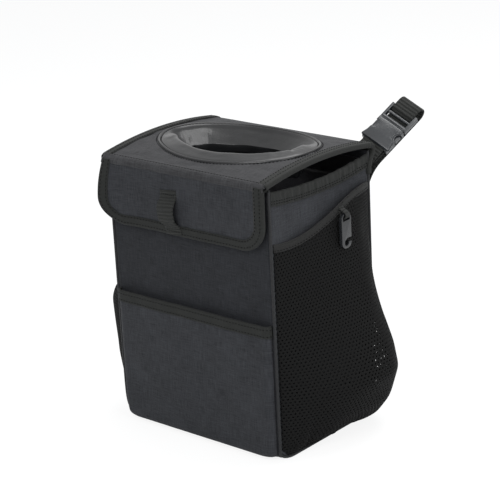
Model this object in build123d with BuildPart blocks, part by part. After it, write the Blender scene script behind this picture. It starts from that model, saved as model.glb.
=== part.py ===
"""Cloth car trash bin with an arched lid, an oval collar, mesh side pockets and a buckled strap. Sizes in mm.

The origin is at the centre of the base, the front faces -Y, the right side faces +X and +Z is up.
"""
import math
import os

from build123d import *

os.makedirs("parts", exist_ok=True)

# Cloth box
body_width = 198.0
body_depth = 148.0
body_height = 268.0
bottom_radius = 8.0
cloth = 1.0
board = 1.6
liner = 0.6
tape = 0.8
piping_diameter = 3.0
board_margin = 4.0
liner_drop = 25.0
side_drop = 3.0
side_dip = 5.5
top_tape_height = 13.0
rim_facets = 6
gather_pitch = 7.2
gather_depth = 1.5
rim_tape_height = 10.0

# Front pocket
pocket_half_width = 96.0
pocket_bottom = 9.0
pocket_top = 137.0
pocket_depth = 7.0
pocket_bevel = 5.0
pocket_tape_height = 11.0

# Mesh side pockets: height of each plan section and how far it stands out, and how far the mouth lies
# below the top of the box, from its front corner to its back one
mesh = 1.0
mesh_floor = 3.2
net_margin = 1.0
right_low = [(0, 3), (5, 12), (14, 25.5), (30, 38.5), (60, 48)]
right_high = [(82, 43), (110, 31)]
right_neck_drops = [(121, 18.5), (78, 10.5)]
left_pouch = [(0, 3), (8, 9.5), (22, 16.5), (60, 24), (115, 27.5), (127, 23), (135, 13)]
pouch_drop = 28.0
pouch_top_stand = 7.5
pouch_facets = 3
right_belly = 38.0
left_belly = -38.0
mouth_drops = [53.0, 53.7, 43.7, 32.1, 31.3]
hem_height = 6.0
hem = 0.7
hole_radius = 5.4
hole_pitch = 10.4
hole_columns = 6
hole_rows = 6
hole_centre = 110.0

# Lid and its collar
lid_half_width = 100.0
lid_front_reach = 6.7
lid_back_reach = 1.5
lid_front_rise = 5.4
lid_peak_y = 15.0
lid_peak_rise = 13.0
lid_back_rise = 7.0
lid_facets = 8
hinge_gap = 0.3
lining = 0.8
lid_tape_width = 9.0
lid_tape_start = 1.7
oval_half_length = 86.0
oval_half_width = 62.0
oval_end_radius = 50.0
oval_y = 2.5
lid_hole_inset = 16.0
board_hole_inset = 12.0
board_hole_sides = 20
collar = 1.2
collar_wall = 1.4
collar_inset = 19.0
collar_drop = 26.0

# Front flap
flap_half_width = 98.0
flap_reach = 8.0
flap_fold_gap = 0.4
flap_board_drop = 4.2
flap_height = 64.0
flap_radius = 27.0
flap_tape_width = 10.0
flap_tape_drop = 3.5
pad_half_width = 30.0
pad_rise = 14.0
pad_height = 23.0
pad = 1.2
tab_x = -13.0
tab_width = 20.0
tab_rise = 1.0
tab_height = 42.0
tab_stand = 7.5
tab_sewn = 6.0
tab_bend = 5.0

# Strap and buckle
webbing = 1.5
strap_width = 25.0
strap_lean = math.radians(25.0)
strap_tilt = math.radians(50.0)
strap_x = 80.8
strap_drop = 25.9
strap_sewn = 40.0
strap_bend = 36.0
strap_straight = 5.0
strap_tail = 15.0
bar_diameter = 3.2
bar_gap = 0.25
buckle_width = 31.0
buckle_rail = 2.5
rail_overlap = 2.0
socket_thickness = 8.6
socket_ear = 6.4
socket_length = 27.0
socket_bar_at = 2.0
socket_wall = 1.7
socket_edge = 1.0
socket_corner = 2.0
socket_side = 2.2
socket_floor = 7.6
window_start = 12.0
window_end = 22.4
clip_gap = 0.3
clip_thickness = 5.4
clip_end_bar_at = 44.0
clip_middle_bar_at = 36.6
clip_shoulder = 3.6
prong_inner = 9.0
prong_outer = 12.4
prong_tip = 8.6
prong_point = 2.0
prong_ease = 0.4
latch_reach = 15.2
latch_ramp = 2.4
latch_shoulder = 1.6
guide_width = 4.0
guide_tip = 12.0
clip_tail = 9.0
loop_reach = 7.0
loop_radius = 7.0
loop_fall = 8.0
anchor_rise = 6.0
anchor_radius = 7.0
anchor_fall = 14.0
swag_handle = 90.0
swag_sections = 15

# Side hook
hook_y = 17.0
hook_stand = 14.6
hook_drop = 45.5
hook_width = 14.0
hook_length = 34.0
hook_thickness = 3.6
hook_bar = 2.6
hook_eye = 4.2
hook_rail = 1.9
hook_bight = 6.4
hook_mouth = 4.0
tab_loop = 1.0
tab_loop_width = 6.4
tab_loop_fold = 0.3
tab_loop_radius = 2.9
hook_tab_stand = 9.6
hook_tab_drop = 41.5

half_w = body_width / 2
half_d = body_depth / 2
bead = piping_diameter / 2
wrap_half = half_w - bead
side_edge = half_d - bead
side_top = body_height - side_drop
front = -half_d
right_neck = [(body_height - drop, stand) for drop, stand in right_neck_drops]
right_pouch = [*right_low, *right_high, *right_neck]
lid_front = front - lid_front_reach
lid_back = half_d + lid_back_reach
lid_tape_front = lid_front + lid_tape_start
flap_outer_y = front - flap_reach
hook_x = half_w + hook_stand
hook_tab_x = half_w + hook_tab_stand
lid_front_top = body_height + lid_front_rise
lid_peak_top = body_height + lid_peak_rise
lid_back_top = body_height + lid_back_rise
flap_top = lid_front_top - flap_fold_gap
flap_board_top = flap_top - flap_board_drop
flap_tape_top = flap_top - flap_tape_drop
flap_bottom = flap_top - flap_height
pad_bottom = flap_bottom + pad_rise
tab_bottom = flap_bottom + tab_rise
tab_top = tab_bottom + tab_height
strap_z = body_height - strap_drop
hook_z = body_height - hook_drop
hook_tab_z = body_height - hook_tab_drop


def keep(piece, label):
    """Names a finished piece and writes its STEP file."""
    piece.part.label = label
    export_step(piece.part, f"parts/{label}.step")


def faceted(rings):
    """Solid from ring to ring of points, in flat triangles, with a flat face over the first and last ring."""
    faces = [Face(Wire.make_polygon(ring)) for ring in (rings[0], rings[-1])]
    for low, high in zip(rings, rings[1:]):
        for i in range(len(low)):
            faces.append(Face(Wire.make_polygon((low[i - 1], low[i], high[i]))))
            faces.append(Face(Wire.make_polygon((low[i - 1], high[i], high[i - 1]))))
    return Solid(Shell(faces))


def box_side(inset, top):
    """Side view of the box, set in from its outside and cut off level at the top."""
    with BuildSketch(Plane.YZ) as view:
        with BuildLine():
            FilletPolyline(
                (inset - half_d, top),
                (inset - half_d, inset),
                (half_d - inset, inset),
                (half_d - inset, top),
                radius=bottom_radius - inset,
            )
            Line((inset - half_d, top), (half_d - inset, top))
        make_face()
    return view.sketch


# Front, bottom and back: one strip of cloth folded round the bottom edges
with BuildPart() as wrap_panel:
    extrude(box_side(0, body_height), amount=wrap_half, both=True)
    extrude(box_side(cloth, body_height), amount=wrap_half, both=True, mode=Mode.SUBTRACT)
keep(wrap_panel, "wrap_panel")

# Stiffening boards behind the cloth
board_span = 2 * (wrap_half - board_margin)
board_height = body_height - 2 * bottom_radius
for label, y in (("front_board", front + cloth), ("back_board", half_d - cloth - board)):
    with BuildPart() as stiffener:
        with Locations((0, y + board / 2, body_height / 2)):
            Box(board_span, board, board_height)
    keep(stiffener, label)

with BuildPart() as bottom_board:
    with Locations((0, 0, cloth + board / 2)):
        Box(board_span, 2 * (half_d - bottom_radius), board)
keep(bottom_board, "bottom_board")

# Waterproof liner: a welded bag with an open top
liner_inset = cloth + board
liner_top = body_height - liner_drop
with BuildPart() as inner_liner:
    extrude(box_side(liner_inset, liner_top), amount=half_w - cloth, both=True)
    extrude(
        box_side(liner_inset + liner, liner_top),
        amount=half_w - cloth - liner,
        both=True,
        mode=Mode.SUBTRACT,
    )
keep(inner_liner, "inner_liner")


def side_rim(rise):
    """Points along the dipped top edge of a side panel, from front to back, raised by a given amount."""
    shares = [2 * i / rim_facets - 1 for i in range(rim_facets + 1)]
    return [(share * side_edge, side_top + rise - side_dip * (1 - share**2)) for share in shares]


def side_band(above, below):
    """Side view of the band between two copies of a side panel's top edge."""
    with BuildSketch(Plane.YZ) as view:
        with BuildLine():
            Polyline(*side_rim(above), *reversed(side_rim(-below)), close=True)
        make_face()
    return view.sketch


# Side panels, piping round their seams and gathered tape over their tops
gathers = int(2 * side_edge / gather_pitch)
for name, hand in (("right", 1), ("left", -1)):
    with BuildPart() as side_panel:
        with BuildSketch(Plane.YZ.offset(hand * (half_w - cloth))):
            with BuildLine():
                FilletPolyline(
                    (-side_edge, side_top),
                    (-side_edge, piping_diameter),
                    (side_edge, piping_diameter),
                    (side_edge, side_top),
                    radius=bottom_radius - bead,
                )
                Polyline(*side_rim(0))
            make_face()
        extrude(amount=hand * cloth)
    keep(side_panel, f"{name}_side_panel")

    with BuildPart() as piping:
        with BuildLine(Plane.YZ.offset(hand * half_w)) as seam:
            FilletPolyline(
                (front, body_height),
                (front, bead),
                (half_d, bead),
                (half_d, body_height),
                radius=bottom_radius - bead,
            )
        with BuildSketch(Plane.XY.offset(body_height)):
            with Locations((hand * half_w, front)):
                RegularPolygon(bead, 8, major_radius=False, rotation=22.5)
        sweep(path=seam.wire())
    keep(piping, f"{name}_piping")

    with BuildPart() as top_tape:
        with BuildSketch(Plane.XY.offset(side_top - side_dip - top_tape_height)):
            with BuildLine():
                inside = hand * (half_w - cloth - tape)
                step = side_edge / gathers
                wave = [
                    (hand * (half_w + tape + gather_depth * (i % 2)), -side_edge + i * step)
                    for i in range(2 * gathers + 1)
                ]
                Polyline(*wave, (inside, side_edge), (inside, -side_edge), close=True)
            make_face()
        extrude(amount=2 * top_tape_height)
        extrude(
            side_band(tape, top_tape_height),
            amount=2 * half_w,
            both=True,
            mode=Mode.INTERSECT,
        )
        add(side_panel.part, mode=Mode.SUBTRACT)
    keep(top_tape, f"{name}_top_tape")

# Tape folded over the top edge of the front cloth
with BuildPart() as front_rim_tape:
    with Locations((0, front + cloth / 2, body_height + tape / 2 - rim_tape_height / 2)):
        Box(board_span, cloth + 2 * tape, rim_tape_height + tape)
    add(wrap_panel.part, mode=Mode.SUBTRACT)
    with Locations((0, front + cloth + board / 2, body_height / 2)):
        Box(board_span, board, board_height, mode=Mode.SUBTRACT)
keep(front_rim_tape, "front_rim_tape")


def pocket_block(grow, low, top, bottom_edge):
    """Block that fills the front pocket, grown on its front and sides, with bevelled front edges."""
    with BuildPart() as block:
        depth = pocket_depth + grow
        with BuildSketch(Plane.XY.offset(low)):
            with BuildLine():
                side = pocket_half_width + grow
                edge = pocket_bevel + grow
                Polyline(
                    (-side, front),
                    (-side, front - depth + edge),
                    (edge - side, front - depth),
                    (side - edge, front - depth),
                    (side, front - depth + edge),
                    (side, front),
                    close=True,
                )
            make_face()
        extrude(amount=top - low)
        if bottom_edge:
            chamfer(block.faces().sort_by(Axis.Y)[0].edges().sort_by(Axis.Z)[0], edge)
    return block


# Front patch pocket with bound mouth
with BuildPart() as front_pocket:
    add(pocket_block(0, pocket_bottom, pocket_top, True).part)
    add(pocket_block(-cloth, pocket_bottom + cloth, pocket_top, True).part, mode=Mode.SUBTRACT)
keep(front_pocket, "front_pocket")

pocket_tape_low = pocket_top - pocket_tape_height
with BuildPart() as front_pocket_tape:
    add(pocket_block(tape, pocket_tape_low, pocket_top + tape, False).part)
    hollow = pocket_block(-cloth - tape, pocket_tape_low, pocket_top + tape, False)
    add(hollow.part, mode=Mode.SUBTRACT)
    add(front_pocket.part, mode=Mode.SUBTRACT)
keep(front_pocket_tape, "front_pocket_tape")


def pouch_solid(hand, profile, belly, inset):
    """Solid that fills a side pocket: D-shaped plan sections joined from its floor to above its mouth."""
    rings = []
    for height, stand in [*profile, (body_height - pouch_drop, pouch_top_stand)]:
        reach = side_edge - net_margin - inset - max(bottom_radius - height, 0)
        ring = []
        for i in range(-pouch_facets, pouch_facets + 1):
            span = reach - math.copysign(1, i) * belly
            turn = 2 * math.atan2(stand - inset, span)
            radius = span / math.sin(turn)
            at = turn * i / pouch_facets
            out = stand - inset - radius * (1 - math.cos(at))
            y = belly + radius * math.sin(at)
            ring.append((hand * (half_w + out), y, mesh_floor + max(height, inset)))
        rings.append(ring)
    return faceted(rings)


def mouth_band(above, below):
    """Side view of the band between two copies of the pocket's sagging mouth line."""
    with BuildSketch(Plane.YZ) as view:
        with BuildLine():
            step = body_depth / (len(mouth_drops) - 1)
            mouth = [(front + i * step, body_height - drop) for i, drop in enumerate(mouth_drops)]
            top = [(y, z + above) for y, z in mouth]
            low = [(y, z - below) for y, z in reversed(mouth)]
            Polyline(*top, *low, close=True)
        make_face()
    return view.sketch


# Mesh side pockets: a bellied net wall with an elastic hem along its mouth
for name, hand, profile, belly in (
    ("right", 1, right_pouch, right_belly),
    ("left", -1, left_pouch, left_belly),
):
    with BuildPart() as net:
        add(pouch_solid(hand, profile, belly, 0))
        add(pouch_solid(hand, profile, belly, mesh), mode=Mode.SUBTRACT)
        extrude(mouth_band(body_height, 0), amount=2 * half_w, both=True, mode=Mode.SUBTRACT)
        with BuildSketch(Plane.YZ.offset(hand * (half_w + mesh))):
            with Locations((0, hole_centre)):
                with HexLocations(hole_pitch, hole_columns, hole_rows):
                    RegularPolygon(hole_radius, 4)
        extrude(amount=hand * half_w, mode=Mode.SUBTRACT)
    keep(net, f"{name}_mesh_pocket")

    with BuildPart() as pocket_hem:
        add(pouch_solid(hand, profile, belly, -hem))
        add(pouch_solid(hand, profile, belly, mesh + hem), mode=Mode.SUBTRACT)
        extrude(mouth_band(hem, hem_height), amount=2 * half_w, both=True, mode=Mode.INTERSECT)
        add(net.part, mode=Mode.SUBTRACT)
    keep(pocket_hem, f"{name}_pocket_hem")


lid_arch = ThreePointArc((lid_front, lid_front_top), (lid_peak_y, lid_peak_top), (lid_back, lid_back_top))


def lid_strip(top, bottom):
    """Side view of one layer of the lid, between two copies of its arched top line."""
    with BuildSketch(Plane.YZ) as view:
        with BuildLine():
            arch = [lid_arch @ (i / lid_facets) for i in range(lid_facets + 1)]
            upper = [(p.X, p.Y + top) for p in arch]
            lower = [(p.X, p.Y + bottom) for p in reversed(arch)]
            Polyline(*upper, *lower, close=True)
        make_face()
    return view.sketch


oval_centre = oval_half_length - oval_end_radius
oval_side_radius = (oval_centre**2 + oval_half_width**2 - oval_end_radius**2) / (
    2 * (oval_half_width - oval_end_radius)
)
oval_slope = math.atan2(oval_side_radius - oval_half_width, oval_centre)


def oval_post(inset, low=body_height / 2, top=body_height * 1.5):
    """Upright post whose plan is an oval of four tangent arcs, set in from the collar's seam."""
    with BuildPart() as post:
        with BuildSketch(Plane.XY.offset(low)):
            with BuildLine(Plane((0, oval_y, 0))):
                x = oval_centre + (oval_end_radius - inset) * math.cos(oval_slope)
                y = (oval_end_radius - inset) * math.sin(oval_slope)
                end = oval_half_length - inset
                side = oval_half_width - inset
                ThreePointArc((x, -y), (end, 0), (x, y))
                ThreePointArc((x, y), (0, side), (-x, y))
                ThreePointArc((-x, y), (-end, 0), (-x, -y))
                ThreePointArc((-x, -y), (0, -side), (x, -y))
            make_face()
        extrude(amount=top - low)
    return post


# Lid: top cloth, board and lining with an oval hole through all three. The cloth turns down to the hinge line
lid_layers = (
    ("lid_panel", 0, -cloth),
    ("lid_board", -cloth, -cloth - board),
    ("lid_lining", -cloth - board, -cloth - board - lining),
)
lid_under = lid_layers[-1][2]
with BuildPart() as hinge_lip:
    lip_low = body_height + hinge_gap
    lip_high = lid_back_top - cloth / 2
    with Locations((0, lid_back - cloth / 2, (lip_low + lip_high) / 2)):
        Box(2 * wrap_half, cloth, lip_high - lip_low)

for label, top, bottom in lid_layers:
    with BuildPart() as layer:
        extrude(lid_strip(top, bottom), amount=lid_half_width, both=True)
        if label == "lid_panel":
            add(oval_post(lid_hole_inset).part, mode=Mode.SUBTRACT)
            add(hinge_lip.part)
        else:
            with BuildSketch(Plane((0, oval_y, body_height / 2))):
                with BuildLine():
                    length = oval_half_length - board_hole_inset
                    width = oval_half_width - board_hole_inset
                    turns = [math.tau * i / board_hole_sides for i in range(board_hole_sides)]
                    Polyline(*[(length * math.cos(t), width * math.sin(t)) for t in turns], close=True)
                make_face()
            extrude(amount=body_height, mode=Mode.SUBTRACT)
            with Locations((0, lid_back, lid_back_top)):
                Box(2 * lid_half_width, 2 * cloth, body_height / 4, mode=Mode.SUBTRACT)
    keep(layer, label)

# Tape folded over the lid's side edges
for name, hand in (("right", 1), ("left", -1)):
    with BuildPart() as edge_tape:
        extrude(lid_strip(tape, lid_under - tape), amount=lid_half_width + tape, both=True)
        extrude(lid_strip(0, lid_under), amount=lid_half_width, both=True, mode=Mode.SUBTRACT)
        middle = hand * (lid_half_width + tape - (lid_tape_width + tape) / 2)
        lid_tape_back = lid_back - cloth
        with Locations((middle, (lid_tape_front + lid_tape_back) / 2, lid_peak_top)):
            Box(lid_tape_width + tape, lid_tape_back - lid_tape_front, body_height / 4, mode=Mode.INTERSECT)
    keep(edge_tape, f"lid_{name}_tape")

# Collar: a flat ring sewn round the hole that turns down into a soft wall with a level hem
collar_low = lid_peak_top - collar_drop
with BuildPart() as opening_collar:
    extrude(lid_strip(collar, 0), amount=lid_half_width, both=True)
    add(oval_post(0).part, mode=Mode.INTERSECT)
    with BuildPart(mode=Mode.PRIVATE) as collar_skirt:
        extrude(lid_strip(collar, -2 * collar_drop), amount=lid_half_width, both=True)
        add(oval_post(collar_inset - collar_wall, collar_low).part, mode=Mode.INTERSECT)
    add(collar_skirt.part)
    add(oval_post(collar_inset).part, mode=Mode.SUBTRACT)
keep(opening_collar, "opening_collar")


def flap_slab(grow, top, outer, inner):
    """Slab with the flap's rounded outline, grown all round, between two depths."""
    with BuildPart() as slab:
        with BuildSketch(Plane.XZ.offset(-outer)):
            with BuildLine():
                side = flap_half_width + grow
                low = flap_bottom - grow
                FilletPolyline(
                    (-side, top), (-side, low), (side, low), (side, top), radius=flap_radius + grow
                )
                Line((-side, top), (side, top))
            make_face()
        extrude(amount=outer - inner)
    return slab


# Flap: cloth, board and lining, with tape folded over the sides and bottom
flap_board_y = flap_outer_y + cloth
flap_lining_y = flap_board_y + board
flap_inner_y = flap_lining_y + lining
for label, top, outer, inner in (
    ("flap_panel", flap_top, flap_outer_y, flap_board_y),
    ("flap_board", flap_board_top, flap_board_y, flap_lining_y),
    ("flap_lining", flap_board_top, flap_lining_y, flap_inner_y),
):
    keep(flap_slab(0, top, outer, inner), label)

with BuildPart() as flap_tape:
    add(flap_slab(tape, flap_tape_top, flap_outer_y - tape, flap_inner_y + tape).part)
    opening = flap_slab(-flap_tape_width, flap_top, flap_outer_y - tape, flap_inner_y + tape)
    add(opening.part, mode=Mode.SUBTRACT)
    add(flap_slab(0, flap_top, flap_outer_y, flap_inner_y).part, mode=Mode.SUBTRACT)
keep(flap_tape, "flap_tape")

# Touch-fastener pads inside the flap and on the front
for label, y in (("flap_hook_pad", flap_inner_y + pad / 2), ("front_loop_pad", front - pad / 2)):
    with BuildPart() as fastener:
        with Locations((0, y, pad_bottom + pad_height / 2)):
            Box(2 * pad_half_width, pad, pad_height)
    keep(fastener, label)

# Pull tab: a loop of webbing sewn to the flap at its top and bottom ends
with BuildPart() as pull_tab:
    with BuildSketch(Plane.YZ.offset(tab_x - tab_width / 2)):
        with BuildLine():
            top_y = flap_outer_y - webbing / 2
            low_y = top_y - tape
            crown = low_y - tab_stand
            FilletPolyline(
                (low_y, tab_bottom),
                (low_y, tab_bottom + tab_sewn),
                (crown, tab_bottom + tab_sewn + tab_stand),
                (crown, tab_top - tab_sewn - tab_stand),
                (top_y, tab_top - tab_sewn),
                (top_y, tab_top),
                radius=tab_bend,
            )
        trace(line_width=webbing)
    extrude(amount=tab_width)
keep(pull_tab, "pull_tab")

# Strap plane: local x runs backwards, local y up the strap's lean, and the normal across its width
lean_sin = math.sin(strap_lean)
lean_cos = math.cos(strap_lean)
tilt_sin = math.sin(strap_tilt)
tilt_cos = math.cos(strap_tilt)
strap_across = Vector(lean_cos, 0, -lean_sin)
strap_plane = Plane((strap_x, half_d, strap_z), x_dir=(0, 1, 0), z_dir=strap_across)
bar_offset = bar_diameter / 2 + bar_gap + webbing / 2
bend_x = webbing / 2 + strap_bend * (1 - tilt_cos) + strap_straight * tilt_sin
bend_y = strap_bend * tilt_sin + strap_straight * tilt_cos
buckle_x = bend_x + bar_offset * tilt_cos
buckle_y = bend_y - bar_offset * tilt_sin


def beside(along, out):
    """Point of the strap plane, a way along the buckle and out from its face."""
    return (
        buckle_x + along * tilt_sin - out * tilt_cos,
        buckle_y + along * tilt_cos + out * tilt_sin,
    )


buckle_plane = Plane(
    strap_plane.from_local_coords(Vector(buckle_x, buckle_y, 0)),
    x_dir=strap_across,
    z_dir=strap_plane.from_local_coords(Vector(*beside(0, 1), 0))
    - strap_plane.from_local_coords(Vector(*beside(0, 0), 0)),
)

# Short strap: sewn to the back, bent backwards and folded round the socket's bar
with BuildPart() as short_strap:
    with BuildSketch(strap_plane):
        with BuildLine():
            sewn_end = (webbing / 2, -strap_sewn)
            Line(sewn_end, (webbing / 2, 0))
            ThreePointArc(
                (webbing / 2, 0),
                (
                    webbing / 2 + strap_bend * (1 - math.cos(strap_tilt / 2)),
                    strap_bend * math.sin(strap_tilt / 2),
                ),
                (webbing / 2 + strap_bend * (1 - tilt_cos), strap_bend * tilt_sin),
            )
            Line(
                (webbing / 2 + strap_bend * (1 - tilt_cos), strap_bend * tilt_sin),
                beside(socket_bar_at, bar_offset),
            )
            ThreePointArc(
                beside(socket_bar_at, bar_offset),
                beside(socket_bar_at + bar_offset, 0),
                beside(socket_bar_at, -bar_offset),
            )
            Line(beside(socket_bar_at, -bar_offset), beside(socket_bar_at - strap_tail, -bar_offset))
        trace(line_width=webbing)
    extrude(amount=strap_width / 2, both=True)
keep(short_strap, "short_strap")

# Buckle socket: a hollow moulding with side windows and a bar for the strap
half_buckle = buckle_width / 2
with BuildPart() as buckle_socket:
    with BuildSketch(buckle_plane.offset(-socket_thickness / 2)):
        with Locations((0, (socket_ear + socket_length) / 2)):
            outline = Rectangle(buckle_width, socket_length - socket_ear)
            chamfer(outline.vertices(), socket_corner)
    extrude(amount=socket_thickness)
    for face in buckle_socket.faces().filter_by(buckle_plane):
        chamfer(face.edges(), socket_edge)
    with BuildSketch(buckle_plane.offset(-clip_thickness / 2)):
        for hand in (-1, 1):
            with Locations((hand * (half_buckle - buckle_rail / 2), (socket_ear + rail_overlap) / 2)):
                Rectangle(buckle_rail, socket_ear + rail_overlap)
    extrude(amount=clip_thickness)
    with BuildSketch(Plane(buckle_plane.from_local_coords((0, socket_bar_at, 0)), z_dir=strap_across)):
        Circle(bar_diameter / 2)
    extrude(amount=half_buckle - buckle_rail / 2, both=True)
    cavity = socket_thickness - 2 * socket_wall
    with BuildSketch(buckle_plane.offset(-cavity / 2)):
        with Locations((0, (socket_floor + socket_length) / 2)):
            Rectangle(buckle_width - 2 * socket_side, socket_length - socket_floor)
        with Locations((0, (window_start + window_end) / 2)):
            Rectangle(buckle_width, window_end - window_start)
    extrude(amount=cavity, mode=Mode.SUBTRACT)
keep(buckle_socket, "buckle_socket")

# Buckle clip: a ladder frame with two sprung prongs and a guide, moulded in one piece
prong = cavity - 2 * clip_gap
clip_start = socket_length + clip_gap
with BuildPart() as buckle_clip:
    with BuildSketch(buckle_plane.offset(-clip_thickness / 2)):
        with Locations((0, clip_start + clip_shoulder / 2)):
            Rectangle(buckle_width, clip_shoulder)
        for hand in (-1, 1):
            rail_end = clip_end_bar_at + bar_diameter / 2
            with Locations((hand * (half_buckle - buckle_rail / 2), (clip_start + rail_end) / 2)):
                Rectangle(buckle_rail, rail_end - clip_start)
    extrude(amount=clip_thickness)
    for at in (clip_middle_bar_at, clip_end_bar_at):
        with BuildSketch(Plane(buckle_plane.from_local_coords((0, at, 0)), z_dir=strap_across)):
            Circle(bar_diameter / 2)
        extrude(amount=half_buckle - buckle_rail / 2, both=True)
    with BuildSketch(buckle_plane.offset(-prong / 2)):
        for hand in (-1, 1):
            with BuildLine():
                Polyline(
                    (hand * prong_inner, clip_start),
                    (hand * prong_inner, prong_tip),
                    (hand * (prong_inner + prong_point), prong_tip),
                    (hand * (prong_outer + prong_ease), window_start - prong_ease),
                    (hand * latch_reach, window_start + latch_ramp),
                    (hand * latch_reach, window_end - latch_shoulder),
                    (hand * prong_outer, window_end - prong_ease),
                    (hand * prong_outer, clip_start),
                    close=True,
                )
            make_face()
        with Locations((0, (guide_tip + clip_start) / 2)):
            Rectangle(guide_width, clip_start - guide_tip)
    extrude(amount=prong)
keep(buckle_clip, "buckle_clip")

# Long strap: round the clip's end bar, back under the buckle, down in a twisted swag and up to its anchor
loop_at = clip_end_bar_at + loop_reach
under = bar_offset - 2 * loop_radius
under_bend = strap_bend - 2 * loop_radius
fall_x = webbing / 2 + strap_bend - under_bend
fall_y = -loop_fall
anchor_across = Vector(lean_cos, 0, lean_sin)
anchor_plane = Plane((-strap_x, half_d, strap_z), x_dir=(0, 1, 0), z_dir=anchor_across)
hang_x = webbing / 2 + 2 * anchor_radius
hang_y = anchor_rise - anchor_fall
swag_start = strap_plane.from_local_coords(Vector(fall_x, fall_y, 0))
swag_end = anchor_plane.from_local_coords(Vector(hang_x, hang_y, 0))
swag_out = swag_start - strap_plane.y_dir * swag_handle
swag_in = swag_end - anchor_plane.y_dir * swag_handle


def swag_frame(t):
    """Cross plane of the swag, a Bezier curve whose webbing turns on edge in the middle."""
    s = 1 - t
    centre = swag_start * s**3 + swag_out * (3 * s * s * t) + swag_in * (3 * s * t * t) + swag_end * t**3
    ahead = (swag_out - swag_start) * (s * s) + (swag_in - swag_out) * (2 * s * t)
    ahead = (ahead + (swag_end - swag_in) * (t * t)).normalized()
    flat = Vector(-ahead.Z, 0, ahead.X).normalized()
    turn = math.pi / 2 * math.sin(math.pi * t) ** 2
    across = flat * math.cos(turn) + ahead.cross(flat) * math.sin(turn)
    return Plane(centre, x_dir=across, z_dir=ahead)


with BuildPart() as long_strap:
    with BuildSketch(strap_plane):
        with BuildLine():
            Line(beside(clip_end_bar_at + clip_tail, -bar_offset), beside(clip_end_bar_at, -bar_offset))
            ThreePointArc(
                beside(clip_end_bar_at, -bar_offset),
                beside(clip_end_bar_at - bar_offset, 0),
                beside(clip_end_bar_at, bar_offset),
            )
            Line(beside(clip_end_bar_at, bar_offset), beside(loop_at, bar_offset))
            ThreePointArc(
                beside(loop_at, bar_offset),
                beside(loop_at + loop_radius, bar_offset - loop_radius),
                beside(loop_at, under),
            )
            Line(beside(loop_at, under), beside(-strap_straight, under))
            TangentArc(beside(-strap_straight, under), (fall_x, 0), tangent=(-tilt_sin, -tilt_cos))
            Line((fall_x, 0), (fall_x, fall_y))
        trace(line_width=webbing)
    extrude(amount=strap_width / 2, both=True)
    with BuildSketch(anchor_plane):
        with BuildLine():
            Polyline((webbing / 2, -strap_sewn), (webbing / 2, 0), (webbing / 2, anchor_rise))
            TangentArc((webbing / 2, anchor_rise), (hang_x, anchor_rise), tangent=(0, 1))
            Line((hang_x, anchor_rise), (hang_x, hang_y))
        trace(line_width=webbing)
    extrude(amount=strap_width / 2, both=True)
    swag = []
    for i in range(swag_sections):
        frame = swag_frame(i / (swag_sections - 1))
        corners = [(-1, -1), (-1, 1), (1, 1), (1, -1)]
        swag.append([frame.from_local_coords((u * strap_width / 2, v * webbing / 2, 0)) for u, v in corners])
    add(faceted(swag))
keep(long_strap, "long_strap")

# Webbing tab sewn to the right pocket's hem, and the moulded hook that hangs from it
with BuildPart() as hook_tab:
    add(pouch_solid(1, right_pouch, right_belly, -hem - tab_loop))
    add(pouch_solid(1, right_pouch, right_belly, -hem), mode=Mode.SUBTRACT)
    with Locations((1.5 * half_w, hook_y, hook_tab_z)):
        Box(half_w, tab_loop_width, hem_height, mode=Mode.INTERSECT)
    with BuildSketch(Plane.XZ.offset(-hook_y - tab_loop_width / 2)):
        for grow in (tab_loop, 0):
            with BuildSketch(mode=Mode.PRIVATE) as belt:
                with Locations((hook_tab_x, hook_tab_z)):
                    RegularPolygon(tab_loop_fold + grow, 8)
                with Locations((hook_x, hook_z)):
                    RegularPolygon(tab_loop_radius + grow, 8)
                make_hull()
            add(belt.sketch, mode=Mode.ADD if grow else Mode.SUBTRACT)
    extrude(amount=tab_loop_width)
    add(pouch_solid(1, right_pouch, right_belly, -hem), mode=Mode.SUBTRACT)
keep(hook_tab, "hook_tab")

with BuildPart() as side_hook:
    hook_top = hook_z + hook_bar / 2
    with BuildSketch(Plane.YZ.offset(hook_x - hook_thickness / 2)):
        with Locations((hook_y, hook_top - hook_length / 2)):
            RectangleRounded(hook_width, hook_length, hook_width / 2 - 1)
        with Locations((hook_y, hook_z - hook_bar / 2 - hook_eye / 2)):
            Rectangle(hook_width - 2 * hook_rail, hook_eye, mode=Mode.SUBTRACT)
        bight_z = hook_top - hook_length + hook_bar + hook_bight / 2
        with Locations((hook_y, bight_z)):
            Circle(hook_bight / 2, mode=Mode.SUBTRACT)
        with Locations((hook_y + hook_width / 4, bight_z + hook_mouth / 2)):
            Rectangle(hook_width / 2, hook_mouth, mode=Mode.SUBTRACT)
    extrude(amount=hook_thickness)
keep(side_hook, "side_hook")
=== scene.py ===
import math

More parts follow.
